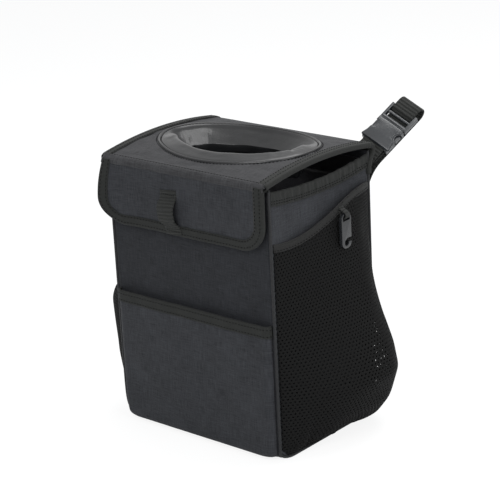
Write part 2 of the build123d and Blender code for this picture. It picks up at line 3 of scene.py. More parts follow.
import bmesh
import bpy
import numpy as np
from mathutils import Matrix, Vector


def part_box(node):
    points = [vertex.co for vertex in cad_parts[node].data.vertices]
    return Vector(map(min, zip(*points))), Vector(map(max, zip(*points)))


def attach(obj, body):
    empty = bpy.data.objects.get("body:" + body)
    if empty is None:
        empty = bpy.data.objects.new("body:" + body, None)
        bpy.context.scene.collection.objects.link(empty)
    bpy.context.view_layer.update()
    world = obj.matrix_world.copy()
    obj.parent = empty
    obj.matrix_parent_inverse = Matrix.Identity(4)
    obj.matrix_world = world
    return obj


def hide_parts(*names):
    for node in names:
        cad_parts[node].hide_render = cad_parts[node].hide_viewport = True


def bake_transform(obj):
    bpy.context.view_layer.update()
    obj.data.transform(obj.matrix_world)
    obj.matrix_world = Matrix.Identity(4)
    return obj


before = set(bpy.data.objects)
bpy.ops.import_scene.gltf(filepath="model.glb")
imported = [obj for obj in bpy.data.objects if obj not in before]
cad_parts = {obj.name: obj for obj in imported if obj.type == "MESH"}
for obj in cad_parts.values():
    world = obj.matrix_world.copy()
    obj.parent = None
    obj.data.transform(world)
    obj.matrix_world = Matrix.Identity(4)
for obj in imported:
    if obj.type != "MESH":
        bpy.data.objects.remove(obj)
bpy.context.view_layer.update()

scene = bpy.context.scene
scene.view_settings.view_transform = "Standard"


# Viewpoint: a long lens looks down on the front and the right side, rolled a little to the left.
# The eye is 1.74 m from a point above the middle of the bin.
def unit(vectors):
    """Vectors scaled to length one."""
    return vectors / np.linalg.norm(vectors, axis=-1, keepdims=True)


def placed(name, data):
    """New object of the scene that shows a mesh, a lamp or a camera."""
    made = bpy.data.objects.new(name, data)
    scene.collection.objects.link(made)
    return made


def looking(right, up, back, place):
    """Matrix of a camera or a lamp at a place, in metres, that looks against the direction back."""
    turned = np.eye(4)
    turned[:3] = np.stack([right, up, back, place], axis=1)
    return Matrix(turned)


azimuth, elevation, roll = np.radians([41.04, 18.99, -2.92])
aim, distance = np.array([0.0096, 0, 0.1734]), 1.741
eye_back = np.array([math.sin(azimuth) * math.cos(elevation), -math.cos(azimuth) * math.cos(elevation),
                     math.sin(elevation)])
eye_right = np.array([math.cos(azimuth), math.sin(azimuth), 0])
eye_up = np.cross(eye_back, eye_right)
camera = placed("camera", bpy.data.cameras.new("camera"))
camera.data.lens = 129.6
camera.data.sensor_width = 36
camera.matrix_world = looking(math.cos(roll) * eye_right + math.sin(roll) * eye_up,
                              math.cos(roll) * eye_up - math.sin(roll) * eye_right,
                              eye_back, aim + distance * eye_back)
scene.camera = camera


# Studio: a pale floor, one broad soft lamp high in front, a weaker one on the right and one overhead.
# The surroundings give an even grey fill, and show white to the eye and in reflections.
class Shade:
    """A shader socket that takes part in Python arithmetic: each operation adds a Math node to its material."""

    def __init__(self, tree, socket=None):
        self.tree = tree
        self.socket = socket

    def node(self, kind, inputs=(), out=0, **settings):
        """Adds a node of any kind: its settings first, then its sockets' values or links, by name or place."""
        made = self.tree.nodes.new("ShaderNode" + kind)
        for name, value in settings.items():
            setattr(made, name, value)
        for name, value in dict(inputs).items():
            if isinstance(value, Shade):
                self.tree.links.new(value.socket, made.inputs[name])
            else:
                made.inputs[name].default_value = value
        return Shade(self.tree, made.outputs[out] if made.outputs else None)

    def output(self, name):
        """Another output of the same node."""
        return Shade(self.tree, self.socket.node.outputs[name])

    def maths(self, operation, first, second=0.0):
        """Result of one Math operation on values or sockets."""
        return self.node("Math", {0: first, 1: second}, operation=operation)

    def __add__(self, other):
        return self.maths("ADD", self, other)

    __radd__ = __add__

    def __sub__(self, other):
        return self.maths("SUBTRACT", self, other)

    def __rsub__(self, other):
        return self.maths("SUBTRACT", other, self)

    def __mul__(self, other):
        return self.maths("MULTIPLY", self, other)

    __rmul__ = __mul__

    def wave(self):
        """Sine of the value."""
        return self.maths("SINE", self)

    def tint(self, dark, light):
        """Colour between two colours, by the value."""
        return self.node("Mix", {0: self, 6: (*dark, 1), 7: (*light, 1)}, out=2, data_type="RGBA")


def lamp(name, place, size, power, target=(0, 0, 0.15)):
    """Square soft lamp at a place, turned to a target, both in metres."""
    light = bpy.data.lights.new(name, "AREA")
    light.size = size
    light.energy = power
    back = unit(np.array(place) - np.array(target))
    right = unit(np.cross([0, 0, 1], back))
    placed(name, light).matrix_world = looking(right, np.cross(back, right), back, place)


def bare(shown):
    """Shade on the empty node tree of a world or a material."""
    shown.use_nodes = True
    shown.node_tree.nodes.clear()
    return Shade(shown.node_tree)


lamp("front_lamp", (0.55, -1.75, 1.5), 1.1, 25)
lamp("right_lamp", (1.9, -0.3, 1.0), 1.0, 13)
lamp("top_lamp", (0.1, 0.5, 1.8), 1.2, 25, target=(0, 0, 0.2))

scene.world = bpy.data.worlds.new("surroundings")
sky = bare(scene.world)
rays = sky.node("LightPath")
mirrored, passing = rays.output("Is Glossy Ray"), rays.output("Is Transmission Ray")
seen = rays.maths("MAXIMUM", rays, mirrored.maths("MAXIMUM", mirrored, passing))
fill = sky.node("Background", {"Color": (0.92, 0.96, 1, 1), "Strength": 0.42})
white = sky.node("Background", {"Color": (1, 1, 1, 1), "Strength": 1.0})
sky.node("OutputWorld", {0: sky.node("MixShader", {0: seen, 1: fill, 2: white})})

floor_half, floor_level = 9, -0.0006
floor_mesh = bpy.data.meshes.new("floor")
floor_corners = ((-1, -1), (1, -1), (1, 1), (-1, 1))
floor_mesh.from_pydata([(x * floor_half, y * floor_half, floor_level) for x, y in floor_corners], [],
                       [(0, 1, 2, 3)])
floor_finish = bpy.data.materials.new("pale_floor")
floor_mesh.materials.append(floor_finish)
ground = bare(floor_finish)
matt = ground.node("BsdfDiffuse", {"Color": (0.86, 0.86, 0.86, 1)})
glow = ground.node("Emission", {"Color": (1, 1, 1, 1), "Strength": 1.08})
seen = ground.node("LightPath") * 0.8
ground.node("OutputMaterial", {0: ground.node("MixShader", {0: seen, 1: matt, 2: glow})})
placed("floor", floor_mesh)


# Front, bottom and back cloth: one strip of black Oxford cloth, folded round the two bottom edges.
# Plain weave, coated on the inside, drawn tight over stiffening boards and sewn into the side seams.
def finish(name, roughness, **constants):
    """New material: returns it with its Principled shader node and a Shade to build its patterns."""
    made = bpy.data.materials.new(name)
    made.use_nodes = True
    shader = made.node_tree.nodes["Principled BSDF"]
    shader.inputs["Roughness"].default_value = roughness
    for socket, value in constants.items():
        shader.inputs[socket.replace("_", " ")].default_value = value
    return made, shader, Shade(made.node_tree)


def feed(shader, pen, colour, rough=None, height=None, depth=0.001):
    """Links a pattern's colour, roughness and height (through a Bump node) to a Principled shader."""
    pen.tree.links.new(colour.socket, shader.inputs["Base Color"])
    if rough is not None:
        pen.tree.links.new(rough.socket, shader.inputs["Roughness"])
    if height is not None:
        bump = pen.node("Bump", {"Height": height, "Distance": depth, "Strength": 1.0})
        pen.tree.links.new(bump.socket, shader.inputs["Normal"])


def cloth_spot(pen):
    """Place on the flat cloth, in millimetres, from the piece's own UV map."""
    return pen.node("UVMap", uv_map="cloth")


def cloth_axes(pen):
    """The two coordinates of the place on the flat cloth."""
    split = pen.node("SeparateXYZ", {0: cloth_spot(pen)})
    return split, split.output(1)


def noise(pen, spot, scale, detail, roughness=0.5):
    """Cloudy noise from 0 to 1 at a spot."""
    return pen.node("TexNoise", {"Vector": spot, "Scale": scale, "Detail": detail, "Roughness": roughness})


def oxford(name, dark, light, warp_pitch=1.1, weft_pitch=1.0):
    """Plain weave: warp and weft show in turn as a checker of threads, with thick places along both."""
    made, shader, pen = finish(name, 0.8, Sheen_Weight=0.05, Sheen_Roughness=0.5, Specular_IOR_Level=0.14)
    spot = cloth_spot(pen)
    u, v = cloth_axes(pen)
    weave = (u * (math.tau / warp_pitch)).wave() * (v * (math.tau / weft_pitch)).wave() * 0.5 + 0.5
    down, across = (noise(pen, pen.node("VectorMath", {0: spot, 1: stretch}, operation="MULTIPLY"), 1.0, 4, 0.7)
                    for stretch in ((1.1, 0.07, 1), (0.07, 1.1, 1)))
    fade = noise(pen, spot, 0.03, 3)
    tone = weave * 0.3 + down * 1.5 + across * 1.5 + fade * 0.6 - 1.45
    height = weave * 0.6 + down * 0.6 + across * 0.6
    feed(shader, pen, tone.tint(dark, light), 0.68 + fade * 0.2, height, 0.00022)
    return made


def spots(*parts):
    """Points from their coordinates, each an array or a number, stretched to one shape."""
    return np.stack(np.broadcast_arrays(*parts), -1)


def grid(first, second):
    """Two parameters on a grid, the first down its rows and the second along its columns."""
    return np.meshgrid(first, second, indexing="ij")


def shaped(name, points, faces, flat=None, look=None):
    """Smooth object of points in millimetres and faces, with each face corner's place on the flat cloth."""
    mesh = bpy.data.meshes.new(name)
    mesh.from_pydata((0.001 * points).tolist(), [], faces.tolist())
    mesh.polygons.foreach_set("use_smooth", np.ones(len(faces), bool))
    if flat is not None:
        mesh.uv_layers.new(name="cloth").data.foreach_set("uv", flat.astype(np.float32).ravel())
    if look:
        mesh.materials.append(look)
    return placed(name, mesh)


def walled(piece, thick):
    """Gives a piece's skin a wall of some millimetres, inwards."""
    wall = piece.modifiers.new("wall", "SOLIDIFY")
    wall.thickness = thick * 0.001
    wall.offset = -1


def skin(name, points, flat, closed=False, away=None, thick=0.0, look=None):
    """Object whose skin is a grid of points in millimetres: quads join neighbours along both parameters.

    closed joins the last row to the first, and then flat has one row more than points. flat is each point's
    place on the flat cloth. Faces are wound to point away from a given point. thick adds a wall inwards.
    """
    rows, columns = points.shape[:2]
    place = np.arange(rows * columns).reshape(rows, columns)
    number = np.arange(flat.shape[0] * columns).reshape(flat.shape[0], columns)
    if closed:
        place = np.vstack([place, place[:1]])
    first, last = slice(None, -1), slice(1, None)
    corners = [(first, first), (last, first), (last, last), (first, last)]
    quads, uvs = (np.stack([order[c] for c in corners], axis=-1).reshape(-1, 4) for order in (place, number))
    points = points.reshape(-1, 3)
    if away is not None:
        ring = points[quads]
        normal = np.cross(ring[:, 2] - ring[:, 0], ring[:, 3] - ring[:, 1])
        if np.sum(normal * (ring.mean(1) - np.array(away))) < 0:
            quads, uvs = quads[:, ::-1], uvs[:, ::-1]
    piece = shaped(name, points, quads, flat.reshape(-1, 2)[uvs.ravel()], look)
    if thick:
        walled(piece, thick)
    return piece


def ripple(a, b, seed, size):
    """Unevenness of cloth, about -1 to 1: the sum of ten cosine waves, seeded, with lengths near a size."""
    draw = np.random.default_rng(seed)
    heading, phase = draw.uniform(0, 2 * math.pi, (2, 10))
    length = size * draw.uniform(0.6, 1.7, 10)
    run = np.multiply.outer(a, np.cos(heading)) + np.multiply.outer(b, np.sin(heading))
    return np.cos(run * 2 * math.pi / length + phase).sum(-1) / 4.5


def distances(line):
    """Distance of each point of a polyline from its start, along it."""
    return np.concatenate([[0], np.cumsum(np.linalg.norm(np.diff(line, axis=0), axis=1))])


def along(line, places, run=None):
    """Points at given places along a polyline, by distance or by another measure of its points."""
    run = distances(line) if run is None else run
    return np.stack([np.interp(places, run, line[:, k]) for k in range(line.shape[1])], axis=-1)


def ramp(value, length):
    """Share that a value has of a length, kept from 0 to 1."""
    return np.clip(value / length, 0, 1)


def settle(points):
    """Softens the box's four bottom corners: points near one are drawn in to the middle and lifted a little."""
    x, y, z = np.moveaxis(points, -1, 0)
    near = ramp(np.abs(x) - 76, 23) ** 2 * ramp(np.abs(y) - 54, 20) ** 2 * np.exp(-z / 8)
    return points + near[..., None] * spots(-5.5 * np.sign(x), -5.5 * np.sign(y), 3.2)


def fixed(piece, body, node=None):
    """Joins a piece to its body, in place of a solid where one is named."""
    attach(piece, body)
    if node:
        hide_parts(node)


half_w, half_d, body_height, cloth = 99.0, 74.0, 268.0, 1.0
wrap_half, wrap_radius = 97.5, 8.0
box_middle = (0, 0, body_height / 2)


def box_side(radius, low):
    """Side view of the box's edge, as (y, z): down the front, round the bottom corners and up the back."""
    bend = np.linspace(0, math.pi / 2, 9)
    corner = spots(-half_d + radius * (1 - np.cos(bend)), low + radius * (1 - np.sin(bend)))
    return np.vstack([[(-half_d, body_height)], corner, (corner * [-1, 1])[::-1], [(half_d, body_height)]])


wrap_line = box_side(wrap_radius, 0)
wrap_run = np.linspace(0, distances(wrap_line)[-1], 150)
wrap_yz = along(wrap_line, wrap_run)
wrap_ahead = unit(np.gradient(wrap_yz, axis=0))
run, x = grid(wrap_run, np.linspace(-wrap_half, wrap_half, 76))
held = ramp(wrap_half - np.abs(x), 12) * ramp(wrap_yz[:, 1:] - 3, 25)
swell = (0.45 * ripple(x, run, 3, 90) + 0.25 * ripple(x, run, 4, 34)) * held
strip = spots(x, wrap_yz[:, :1] + wrap_ahead[:, 1:] * swell, wrap_yz[:, 1:] - wrap_ahead[:, :1] * swell)
# Painted shade: this strip's copy of the Oxford cloth is darker than the flap's and the pocket's, standing in
# for the shade under the flap on the front.
body_cloth_painted_shade = oxford("charcoal_oxford_cloth", (0.0045, 0.0049, 0.006), (0.0262, 0.0277, 0.0324))
wrap_cloth = skin("wrap_cloth", settle(strip), spots(x, run), away=box_middle, thick=cloth, look=body_cloth_painted_shade)
fixed(wrap_cloth, "bin", "wrap_panel")


# Side cloths: the same Oxford cloth without a board, so they sag a little between the seams.
# Their top edges dip, and each is sewn round its other three edges into the piped seam.
sides = (("right", 1), ("left", -1))
side_edge, side_low, side_top, side_dip, seam_radius = 72.5, 3.0, 265.0, 5.5, 6.5
# Painted light: the sides' copy of the Oxford cloth is lighter than the front's, standing in for the stronger
# light that falls on the sides.
side_finish_painted_light = oxford("side_oxford_cloth", (0.009, 0.0096, 0.0114), (0.047, 0.0493, 0.056))


def rim_height(y):
    """Height of a side's top edge: it dips in the middle by a parabola."""
    return side_top - side_dip * (1 - (y / side_edge) ** 2)


for name, hand in sides:
    y, share = grid(np.linspace(-side_edge, side_edge, 80), np.linspace(0, 1, 120))
    z = side_low + share * (rim_height(y) - side_low)
    held = ramp(side_edge - np.abs(y), 18) * ramp(z - side_low, 20)
    sag = (0.5 * ripple(y, z, 11 + hand, 80) + 0.25 * ripple(y, z, 13 + hand, 30)) * held
    below = np.clip(side_low + seam_radius - z, 0, seam_radius)
    drawn_in = seam_radius - np.sqrt(seam_radius ** 2 - below ** 2)
    panel = spots(hand * (half_w + sag), y * (side_edge - drawn_in) / side_edge, z)
    side_cloth = skin(f"{name}_side_cloth", settle(panel), spots(y, z), away=box_middle, thick=cloth,
                      look=side_finish_painted_light)
    fixed(side_cloth, "bin", f"{name}_side_panel")


# Piping: a cord bound in black tape, sewn into the seam down the front, along the bottom and up the back.
# It stands as a round bead along every side edge.
def ribbed(name, dark, light, pitch, depth, roughness=0.75):
    """Ribbed tape: close ridges across its length, each made of a row of small threads."""
    made, shader, pen = finish(name, roughness, Sheen_Weight=0.04, Sheen_Roughness=0.5, Specular_IOR_Level=0.16)
    u, v = cloth_axes(pen)
    rib, yarn = ((axis * (math.tau / step)).wave() * 0.5 + 0.5 for axis, step in ((u, pitch), (v, 0.7)))
    mottle = noise(pen, cloth_spot(pen), 0.4, 4, 0.65)
    tone = rib * 0.45 + yarn * 0.15 + mottle * 0.5 - 0.05
    feed(shader, pen, tone.tint(dark, light), None, rib * 0.8 + yarn * 0.2 + mottle * 0.3, depth)
    return made


def swept(name, centres, first, second, profile, closed=True, shut=None, **rest):
    """Profile carried along a path: each profile point (a, b) lies at centre + a * first + b * second.

    shut gives how far both ends draw in to close, as shares of the profile's two directions.
    """
    first, second = (np.broadcast_to(d, centres.shape) for d in (first, second))
    if shut:
        ends, inside = centres[[0, -1]], centres[[1, -2]]
        near = ends + 0.02 * (inside - ends)
        centres = np.vstack([centres[:1], near[:1], centres[1:-1], near[1:], centres[-1:]])
        first, second = (np.vstack([d[:1], d, d[-1:]]) for d in (first, second))
    scale = np.ones((len(centres), 2))
    scale[[0, -1]] = shut or 1
    shares = profile[:, None] * scale
    points = centres + shares[..., :1] * first + shares[..., 1:] * second
    ring = np.vstack([profile, profile[:1]]) if closed else profile
    flat = spots(distances(centres), distances(ring)[:, None])
    return skin(name, points, flat, closed=closed, **rest)


def frames(path, guide):
    """Two cross directions along a path: the guide made square to the path, and the one square to both."""
    ahead = unit(np.gradient(path, axis=0))
    first = unit(guide - ahead * np.sum(guide * ahead, axis=1)[:, None])
    return first, np.cross(ahead, first)


def even(line, count):
    """Points at even steps along a polyline."""
    return along(line, np.linspace(0, distances(line)[-1], count))


rightward, forward, upward = np.array([(1.0, 0, 0), (0, -1, 0), (0, 0, 1)])
bead = 1.5
edge_tape = ribbed("black_edge_tape", (0.005, 0.0055, 0.005), (0.024, 0.025, 0.0235), 1.2, 0.00022)
# Painted highlight: the piping's tape is a little lighter than the edge tape, standing in for the highlight
# along the bead; its lower roughness gives real gloss.
bead_tape_painted_highlight = ribbed("black_piping_tape", (0.0055, 0.0057, 0.0062), (0.026, 0.0267, 0.0285), 1.2, 0.00015, 0.5)
turn = np.arange(14) * math.tau / 14
round_bead = bead * spots(np.cos(turn), np.sin(turn))
seam_y, seam_z = even(box_side(seam_radius, bead), 240).T
for name, hand in sides:
    seam = settle(spots(hand * half_w, seam_y, seam_z))
    piping = swept(f"{name}_piping_bead", seam, *frames(seam, rightward), round_bead, shut=(0.02, 0.02),
                   look=bead_tape_painted_highlight)
    fixed(piping, "bin", f"{name}_piping")


# Gathered top tapes: ribbed tape with elastic in it, folded over the top edge of each side and sewn through.
# The elastic draws the edge up into small upright gathers.
tape, tape_wall = 0.8, 0.3


def folded(tall, count, tape=tape):
    """Profile of a tape folded over a cloth's edge: up the outside, round the top and down the inside."""
    radius = cloth / 2 + tape
    over = np.linspace(0, math.pi, 9)
    crown = spots(radius * np.cos(over) - cloth / 2, tape - radius + radius * np.sin(over))
    return even(np.vstack([[(tape, -tall)], crown, [(-cloth - tape, -tall)]]), count)


def stitches(name, path, out, body, pitch=3.6, long=2.6, wide=0.55):
    """Row of stitches: at even steps along a path lies a lozenge of six points, raised along out."""
    run = distances(path)
    places = np.arange(pitch / 2, run[-1], pitch)
    middle, before, after = (along(path, places + step) for step in (0, -long / 2, long / 2))
    up = wide * along(np.broadcast_to(out, path.shape), places, run)
    side = wide * unit(np.cross(after - before, up))
    lozenges = np.stack([before, after, middle + side, middle - side, middle + up, middle - up], 1)
    eight = np.array([(4, 2, 1), (3, 4, 1), (5, 3, 1), (2, 5, 1), (2, 4, 0), (4, 3, 0), (3, 5, 0), (5, 2, 0)])
    faces = (6 * np.arange(len(places))[:, None, None] + eight).reshape(-1, 3)
    fixed(shaped(name, lozenges.reshape(-1, 3), faces, look=thread), body)


def solid_spot(pen):
    """Place in the object's own space, in metres."""
    return pen.node("TexCoord", out=3)


def grained(name, roughness, dark, light, spot, scale, detail, depth, lumpy=0.5, gloss=None, **constants):
    """Finish with one cloudy grain: it varies the tone, the height and, where a range is given, the gloss."""
    made, shader, pen = finish(name, roughness, **constants)
    grain = noise(pen, spot(pen), scale, detail, lumpy)
    feed(shader, pen, grain.tint(dark, light), gloss and gloss[0] + grain * gloss[1], grain, depth)
    return made


thread = grained("black_sewing_thread", 0.7, (0.001, 0.001, 0.001), (0.005, 0.005, 0.005), solid_spot, 2500.0,
                 3, 0.0001, Specular_IOR_Level=0.1)
gather_tall = 13
top_fold = folded(gather_tall, 36)
out, up = top_fold.T[:, None]
for name, hand in sides:
    y = np.linspace(-side_edge, side_edge, 240)[:, None]
    depth = np.clip(0.65 + 0.35 * ripple(y, 0 * y, 23 + hand, 24), 0.2, 1.2)
    gather = np.clip(0.5 + 0.55 * ripple(y, 0.22 * up, 21 + hand, 6.5), 0, 1.3) * depth
    outer = np.clip(out + 0.5, 0, 1.3) / 1.3
    sewn = 1 - 0.75 * np.exp(-((up + 10.2) / 1.2) ** 2)
    belly = 0.5 + 0.5 * np.sin(math.pi * ramp(-up, gather_tall)) ** 0.7
    puff = 1.5 * gather * outer * sewn * belly
    tape_points = spots(hand * (half_w + out + puff), y, rim_height(y) + up + 1.1 * (gather - 0.4))
    top_tape = skin(f"{name}_gathered_tape", tape_points, spots(y, np.linspace(0, 28, 36)),
                    away=(hand * 98.5, 0, 250), thick=tape_wall, look=edge_tape)
    fixed(top_tape, "bin", f"{name}_top_tape")
    for row, level in (("upper", -8.0), ("lower", -10.6)):
        column = np.argmin(np.abs(top_fold[:18, 1] - level))
        stitches(f"{name}_gathered_tape_{row}_row", tape_points[:, column] + [hand * 0.1, 0, 0],
                 hand * rightward, "bin")


# Front rim tape: plain ribbed tape folded over the top edge of the front cloth, under the flap.
# One row of stitches holds it.
def bound(name, path, out, up, profile, away, look=edge_tape):
    """Tape on an edge: an open profile carried along it, with a thin wall."""
    return swept(name, path, out, up, profile, closed=False, away=away, thick=tape_wall, look=look)


rim_path = spots(np.linspace(-93.5, 93.5, 60), -half_d, body_height)
rim_tape = bound("front_edge_tape", rim_path, forward, upward, folded(10, 30), (0, -73.5, 264))
fixed(rim_tape, "bin", "front_rim_tape")
stitches("front_edge_tape_row", rim_path + [0, -0.85, -7.5], forward, "bin")


# Front pocket: a flat patch of the same cloth sewn on at its sides and bottom, with a little room in it.
# Its mouth is bound with ribbed tape, sewn in two rows.
pocket_half, pocket_low, pocket_top, pocket_deep, pocket_round = 96.0, 2.5, 137.0, 7.0, 7.0


def rounded(distance, radius):
    """Rise of a quarter circle: 0 at an edge, 1 from a radius inwards."""
    return np.sqrt(1 - (1 - ramp(distance, radius)) ** 2)


def pocket_front(x, z):
    """Point of the pocket's cloth: a quarter circle up from its sewn edges, with slack where it is free."""
    free = rounded(pocket_half - np.abs(x), pocket_round) * rounded(z - pocket_low, pocket_round)
    slack = 0.5 * ripple(x, z, 31, 85) + 0.3 * ripple(x, z, 32, 30)
    return spots(x, -half_d - pocket_deep * free - slack * free ** 2, z)


near = pocket_round * (1 - np.cos(np.linspace(0, math.pi / 2, 8)))
pocket_x = np.concatenate([-pocket_half + near, np.linspace(-88, 88, 74), (pocket_half - near)[::-1]])
x, z = grid(pocket_x, np.concatenate([pocket_low + near, np.linspace(11, pocket_top, 62)]))
patch_cloth = oxford("patch_oxford_cloth", (0.0081, 0.0086, 0.0104), (0.0405, 0.0424, 0.0478))
pocket_cloth = skin("front_pocket_cloth", settle(pocket_front(x, z)), spots(x, z), away=(0, 0, 70), thick=cloth,
                    look=patch_cloth)
fixed(pocket_cloth, "bin", "front_pocket")

mouth_path = pocket_front(pocket_x, pocket_top)
toward = np.cross(unit(np.gradient(mouth_path, axis=0)), upward)
pocket_tape = bound("front_pocket_binding", mouth_path, toward, upward, folded(11, 34), (0, -80.5, 132))
fixed(pocket_tape, "bin", "front_pocket_tape")
for row, level in (("upper", 2.6), ("lower", 9.2)):
    stitches(f"front_pocket_binding_{row}_row", mouth_path + 0.85 * toward - level * upward, toward, "bin")


# Net pockets: knitted black mesh of six-sided cells, sewn round the side's bottom and edges.
# The right one is stretched out low down towards the back, and the left one hangs slack.
# Elastic hems bind the mouths.
net_low = 3.2


def pouch(across, height, hand, profile, belly):
    """Point of a net: its plan at a height is two arcs that leave the side at its edges and meet at the belly.

    across runs from -1 at the front edge to 1 at the back, and the plan's stand follows a smoothed profile.
    """
    fine = np.linspace(0, 240, 481)
    stand = np.interp(fine, *np.array(profile, float).T)
    kernel = np.exp(-0.5 * (np.arange(-16, 17) / 6) ** 2)
    stand = np.convolve(np.pad(stand, 16, mode="edge"), kernel / kernel.sum(), "valid")
    depth = np.interp(height, fine, stand)
    span = side_edge - 1 - np.maximum(8 - height, 0) - np.sign(across) * belly
    turn = 2 * np.arctan2(depth, span)
    radius = span / np.sin(turn)
    at = turn * across
    return spots(hand * (half_w + depth - radius * (1 - np.cos(at))), belly + radius * np.sin(at),
                 net_low + height)


def mouth_height(y):
    """Height of a net's mouth: low at the front, rising smoothly towards the back."""
    return np.polyval(np.polyfit([-74, -37, 0, 37, 74], [215, 214.3, 224.3, 235.9, 236.7], 4), y)


def crumple(across, height, seed):
    """Stand of a net's folds: pleats at the bottom seam that fade upwards, one sharp fold, and slack waves.

    All of it dies out at the sewn edges.
    """
    pleats = np.cos(across * 14 + 1.4 * np.sin(across * 5 + seed)) * np.exp(-height / 20)
    fold = np.exp(-((across + 0.74 - height * 0.0006) / 0.035) ** 2) * np.exp(-height / 30)
    slack = 0.9 * ripple(across * 80, height, seed, 60)
    return ((3.0 * pleats - 5.0 * fold) * ramp(height, 6) + slack) * (1 - across ** 2)


def net_mesh(name, seed, hand, columns=56, rows=76, cell_high=3.09, hole=0.42, thick=0.8, **form):
    """Sheet of six-sided cells in rows on the flat, carried to the pouch: each cell is a rim round a hole."""
    row, column = grid(np.arange(rows), np.arange(columns))
    cell_wide = 2 / columns
    centre = spots(-1 + cell_wide * (column + 0.25 + 0.5 * (row % 2)), cell_high * (row + 0.5))
    centre = centre.reshape(-1, 1, 2)
    turn = np.radians([90, 150, 210, 270, 330, 30])
    corner = spots(cell_wide / math.sqrt(3) * np.cos(turn), cell_high / 1.5 * np.sin(turn))
    mouth = mouth_height(pouch(np.clip(centre[:, 0, 0], -1, 1), centre[:, 0, 1], hand, **form)[:, 1])
    kept = centre[centre[:, 0, 1] + net_low < mouth - 1]
    plan = np.clip(np.stack([kept + corner, kept + corner * hole], 1), [-1, 0], [1, np.inf])
    shared, index = np.unique(np.round(plan.reshape(-1, 2), 5), axis=0, return_inverse=True)
    index = index.reshape(-1, 2, 6)
    after = np.roll(index, -1, axis=2)
    quads = np.stack([index[:, 0], after[:, 0], after[:, 1], index[:, 1]], -1).reshape(-1, 4)
    quads = quads[(np.diff(np.sort(quads, axis=1), axis=1) > 0).all(1)][:, ::-hand]
    across, height = shared.T
    free = 1 - across ** 2
    loose = free * ramp(height, 10)
    slide, slip = (ripple(across * 80, height, seed + k, size) * loose for k, size in ((2, 16), (3, 14)))
    points = pouch(across + 0.006 * slide, height + 0.6 * slip, hand, **form)
    points[:, 0] += hand * crumple(across, height, seed)
    scallop = 0.5 - 0.5 * np.cos(across * 19 + np.sin(across * 7 + seed))
    points[:, 2] += 3.4 * scallop * np.exp(-height / 14) * free
    piece = shaped(name, settle(points), quads, shared[quads.ravel()] * [85, 1], net_yarn)
    walled(piece, thick)
    return piece


right_form = {"belly": 38.0, "profile": [(0, 3), (5, 12), (14, 25.5), (30, 38.5), (60, 48), (82, 43),
                                         (110, 31), (147, 18.5), (190, 10.5), (240, 7.5)]}
left_form = {"belly": -38.0, "profile": [(0, 3), (8, 10), (22, 18.5), (60, 27.5), (115, 30.5), (127, 25),
                                         (135, 14), (240, 7.5)]}
net_yarn = grained("black_mesh_yarn", 0.75, (0.001, 0.001, 0.001), (0.008, 0.008, 0.0079), cloth_spot, 1.3, 5,
                   0.0002, lumpy=0.7, Specular_IOR_Level=0.1)
hem_tape = ribbed("black_elastic_hem", (0.004, 0.004, 0.004), (0.02, 0.02, 0.0195), 0.9, 0.0002)
hem_thick = 1.3
for name, hand, form, seed, cut in (("right", 1, right_form, 41, (0.175, 0.235)),
                                    ("left", -1, left_form, 43, (0.16, 0.235))):
    net = net_mesh(f"{name}_net", seed, hand, **form)
    fixed(net, "bin", f"{name}_mesh_pocket")

    across = np.linspace(-1, 1, 200)
    level = np.full(200, 215.0)
    for _ in range(6):
        level = mouth_height(pouch(across, level - net_low, hand, **form)[:, 1])
    hem_path = pouch(across, level - net_low, hand, **form)
    hem_path[:, 0] += hand * crumple(across, level - net_low, seed)
    toward = hand * unit(np.cross(np.gradient(hem_path, axis=0), upward))
    hem = bound(f"{name}_hem", hem_path, toward, upward, folded(6, 24, hem_thick), hem_path.mean(0) - [0, 0, 3],
                hem_tape)
    fixed(hem, "bin", f"{name}_pocket_hem")
    stitches(f"{name}_hem_row", hem_path + (hem_thick + 0.05) * toward - [0, 0, 4.4], toward, "bin")


# Liner: a welded bag of black coated cloth inside the box, soft between its welds.
# It is open at the top and stands a little below the box's edge.
liner_cloth = grained("black_coated_lining", 0.42, (0.008, 0.008, 0.009), (0.03, 0.03, 0.033), cloth_spot, 0.06,
                      6, 0.002, lumpy=0.6, gloss=(0.3, 0.25), Specular_IOR_Level=0.5)
liner_x, liner_y, liner_low, liner_top, liner_round, weld, lining = 97.4, 70.8, 3.2, 243.0, 676, 0.012, 0.5
turn = np.linspace(0, math.tau, 161)[:-1]
square = np.maximum(np.abs(np.cos(turn)), np.abs(np.sin(turn)))
ring_x, ring_y = (liner_x * np.cos(turn) / square)[:, None], (liner_y * np.sin(turn) / square)[:, None]
level = np.concatenate([np.zeros(10), np.linspace(0, 1, 46)])
inward = np.concatenate([np.linspace(weld + 0.0002, 0.995, 10), np.ones(46)])
around = np.linspace(0, liner_round, 161)[:, None]
bag_z = liner_low + level * (liner_top - liner_low)
give = 1.2 * ripple(around[:-1], bag_z[None], 51, 60) * ramp(level, 0.125)
shrink = inward - weld - 0.010 * give
liner_bag = skin("liner_bag", spots(ring_x * shrink, ring_y * shrink, bag_z),
                 spots(around, bag_z + 70 * inward), closed=True, away=(0, 0, 130), thick=lining,
                 look=liner_cloth)
fixed(liner_bag, "bin", "inner_liner")


# Stiffening boards: stamped black polyethylene sheet with a fine haircell grain.
# They are slipped in behind the cloth of the front, the back and the bottom.
board_sheet = grained("black_polyethylene_sheet", 0.5, (0.012, 0.012, 0.013), (0.03, 0.03, 0.032), solid_spot,
                      900.0, 3, 0.0002, gloss=(0.4, 0.2))
for name in ("front_board", "back_board", "bottom_board"):
    shown = bpy.data.objects[name].data.materials
    shown.clear()
    shown.append(board_sheet)


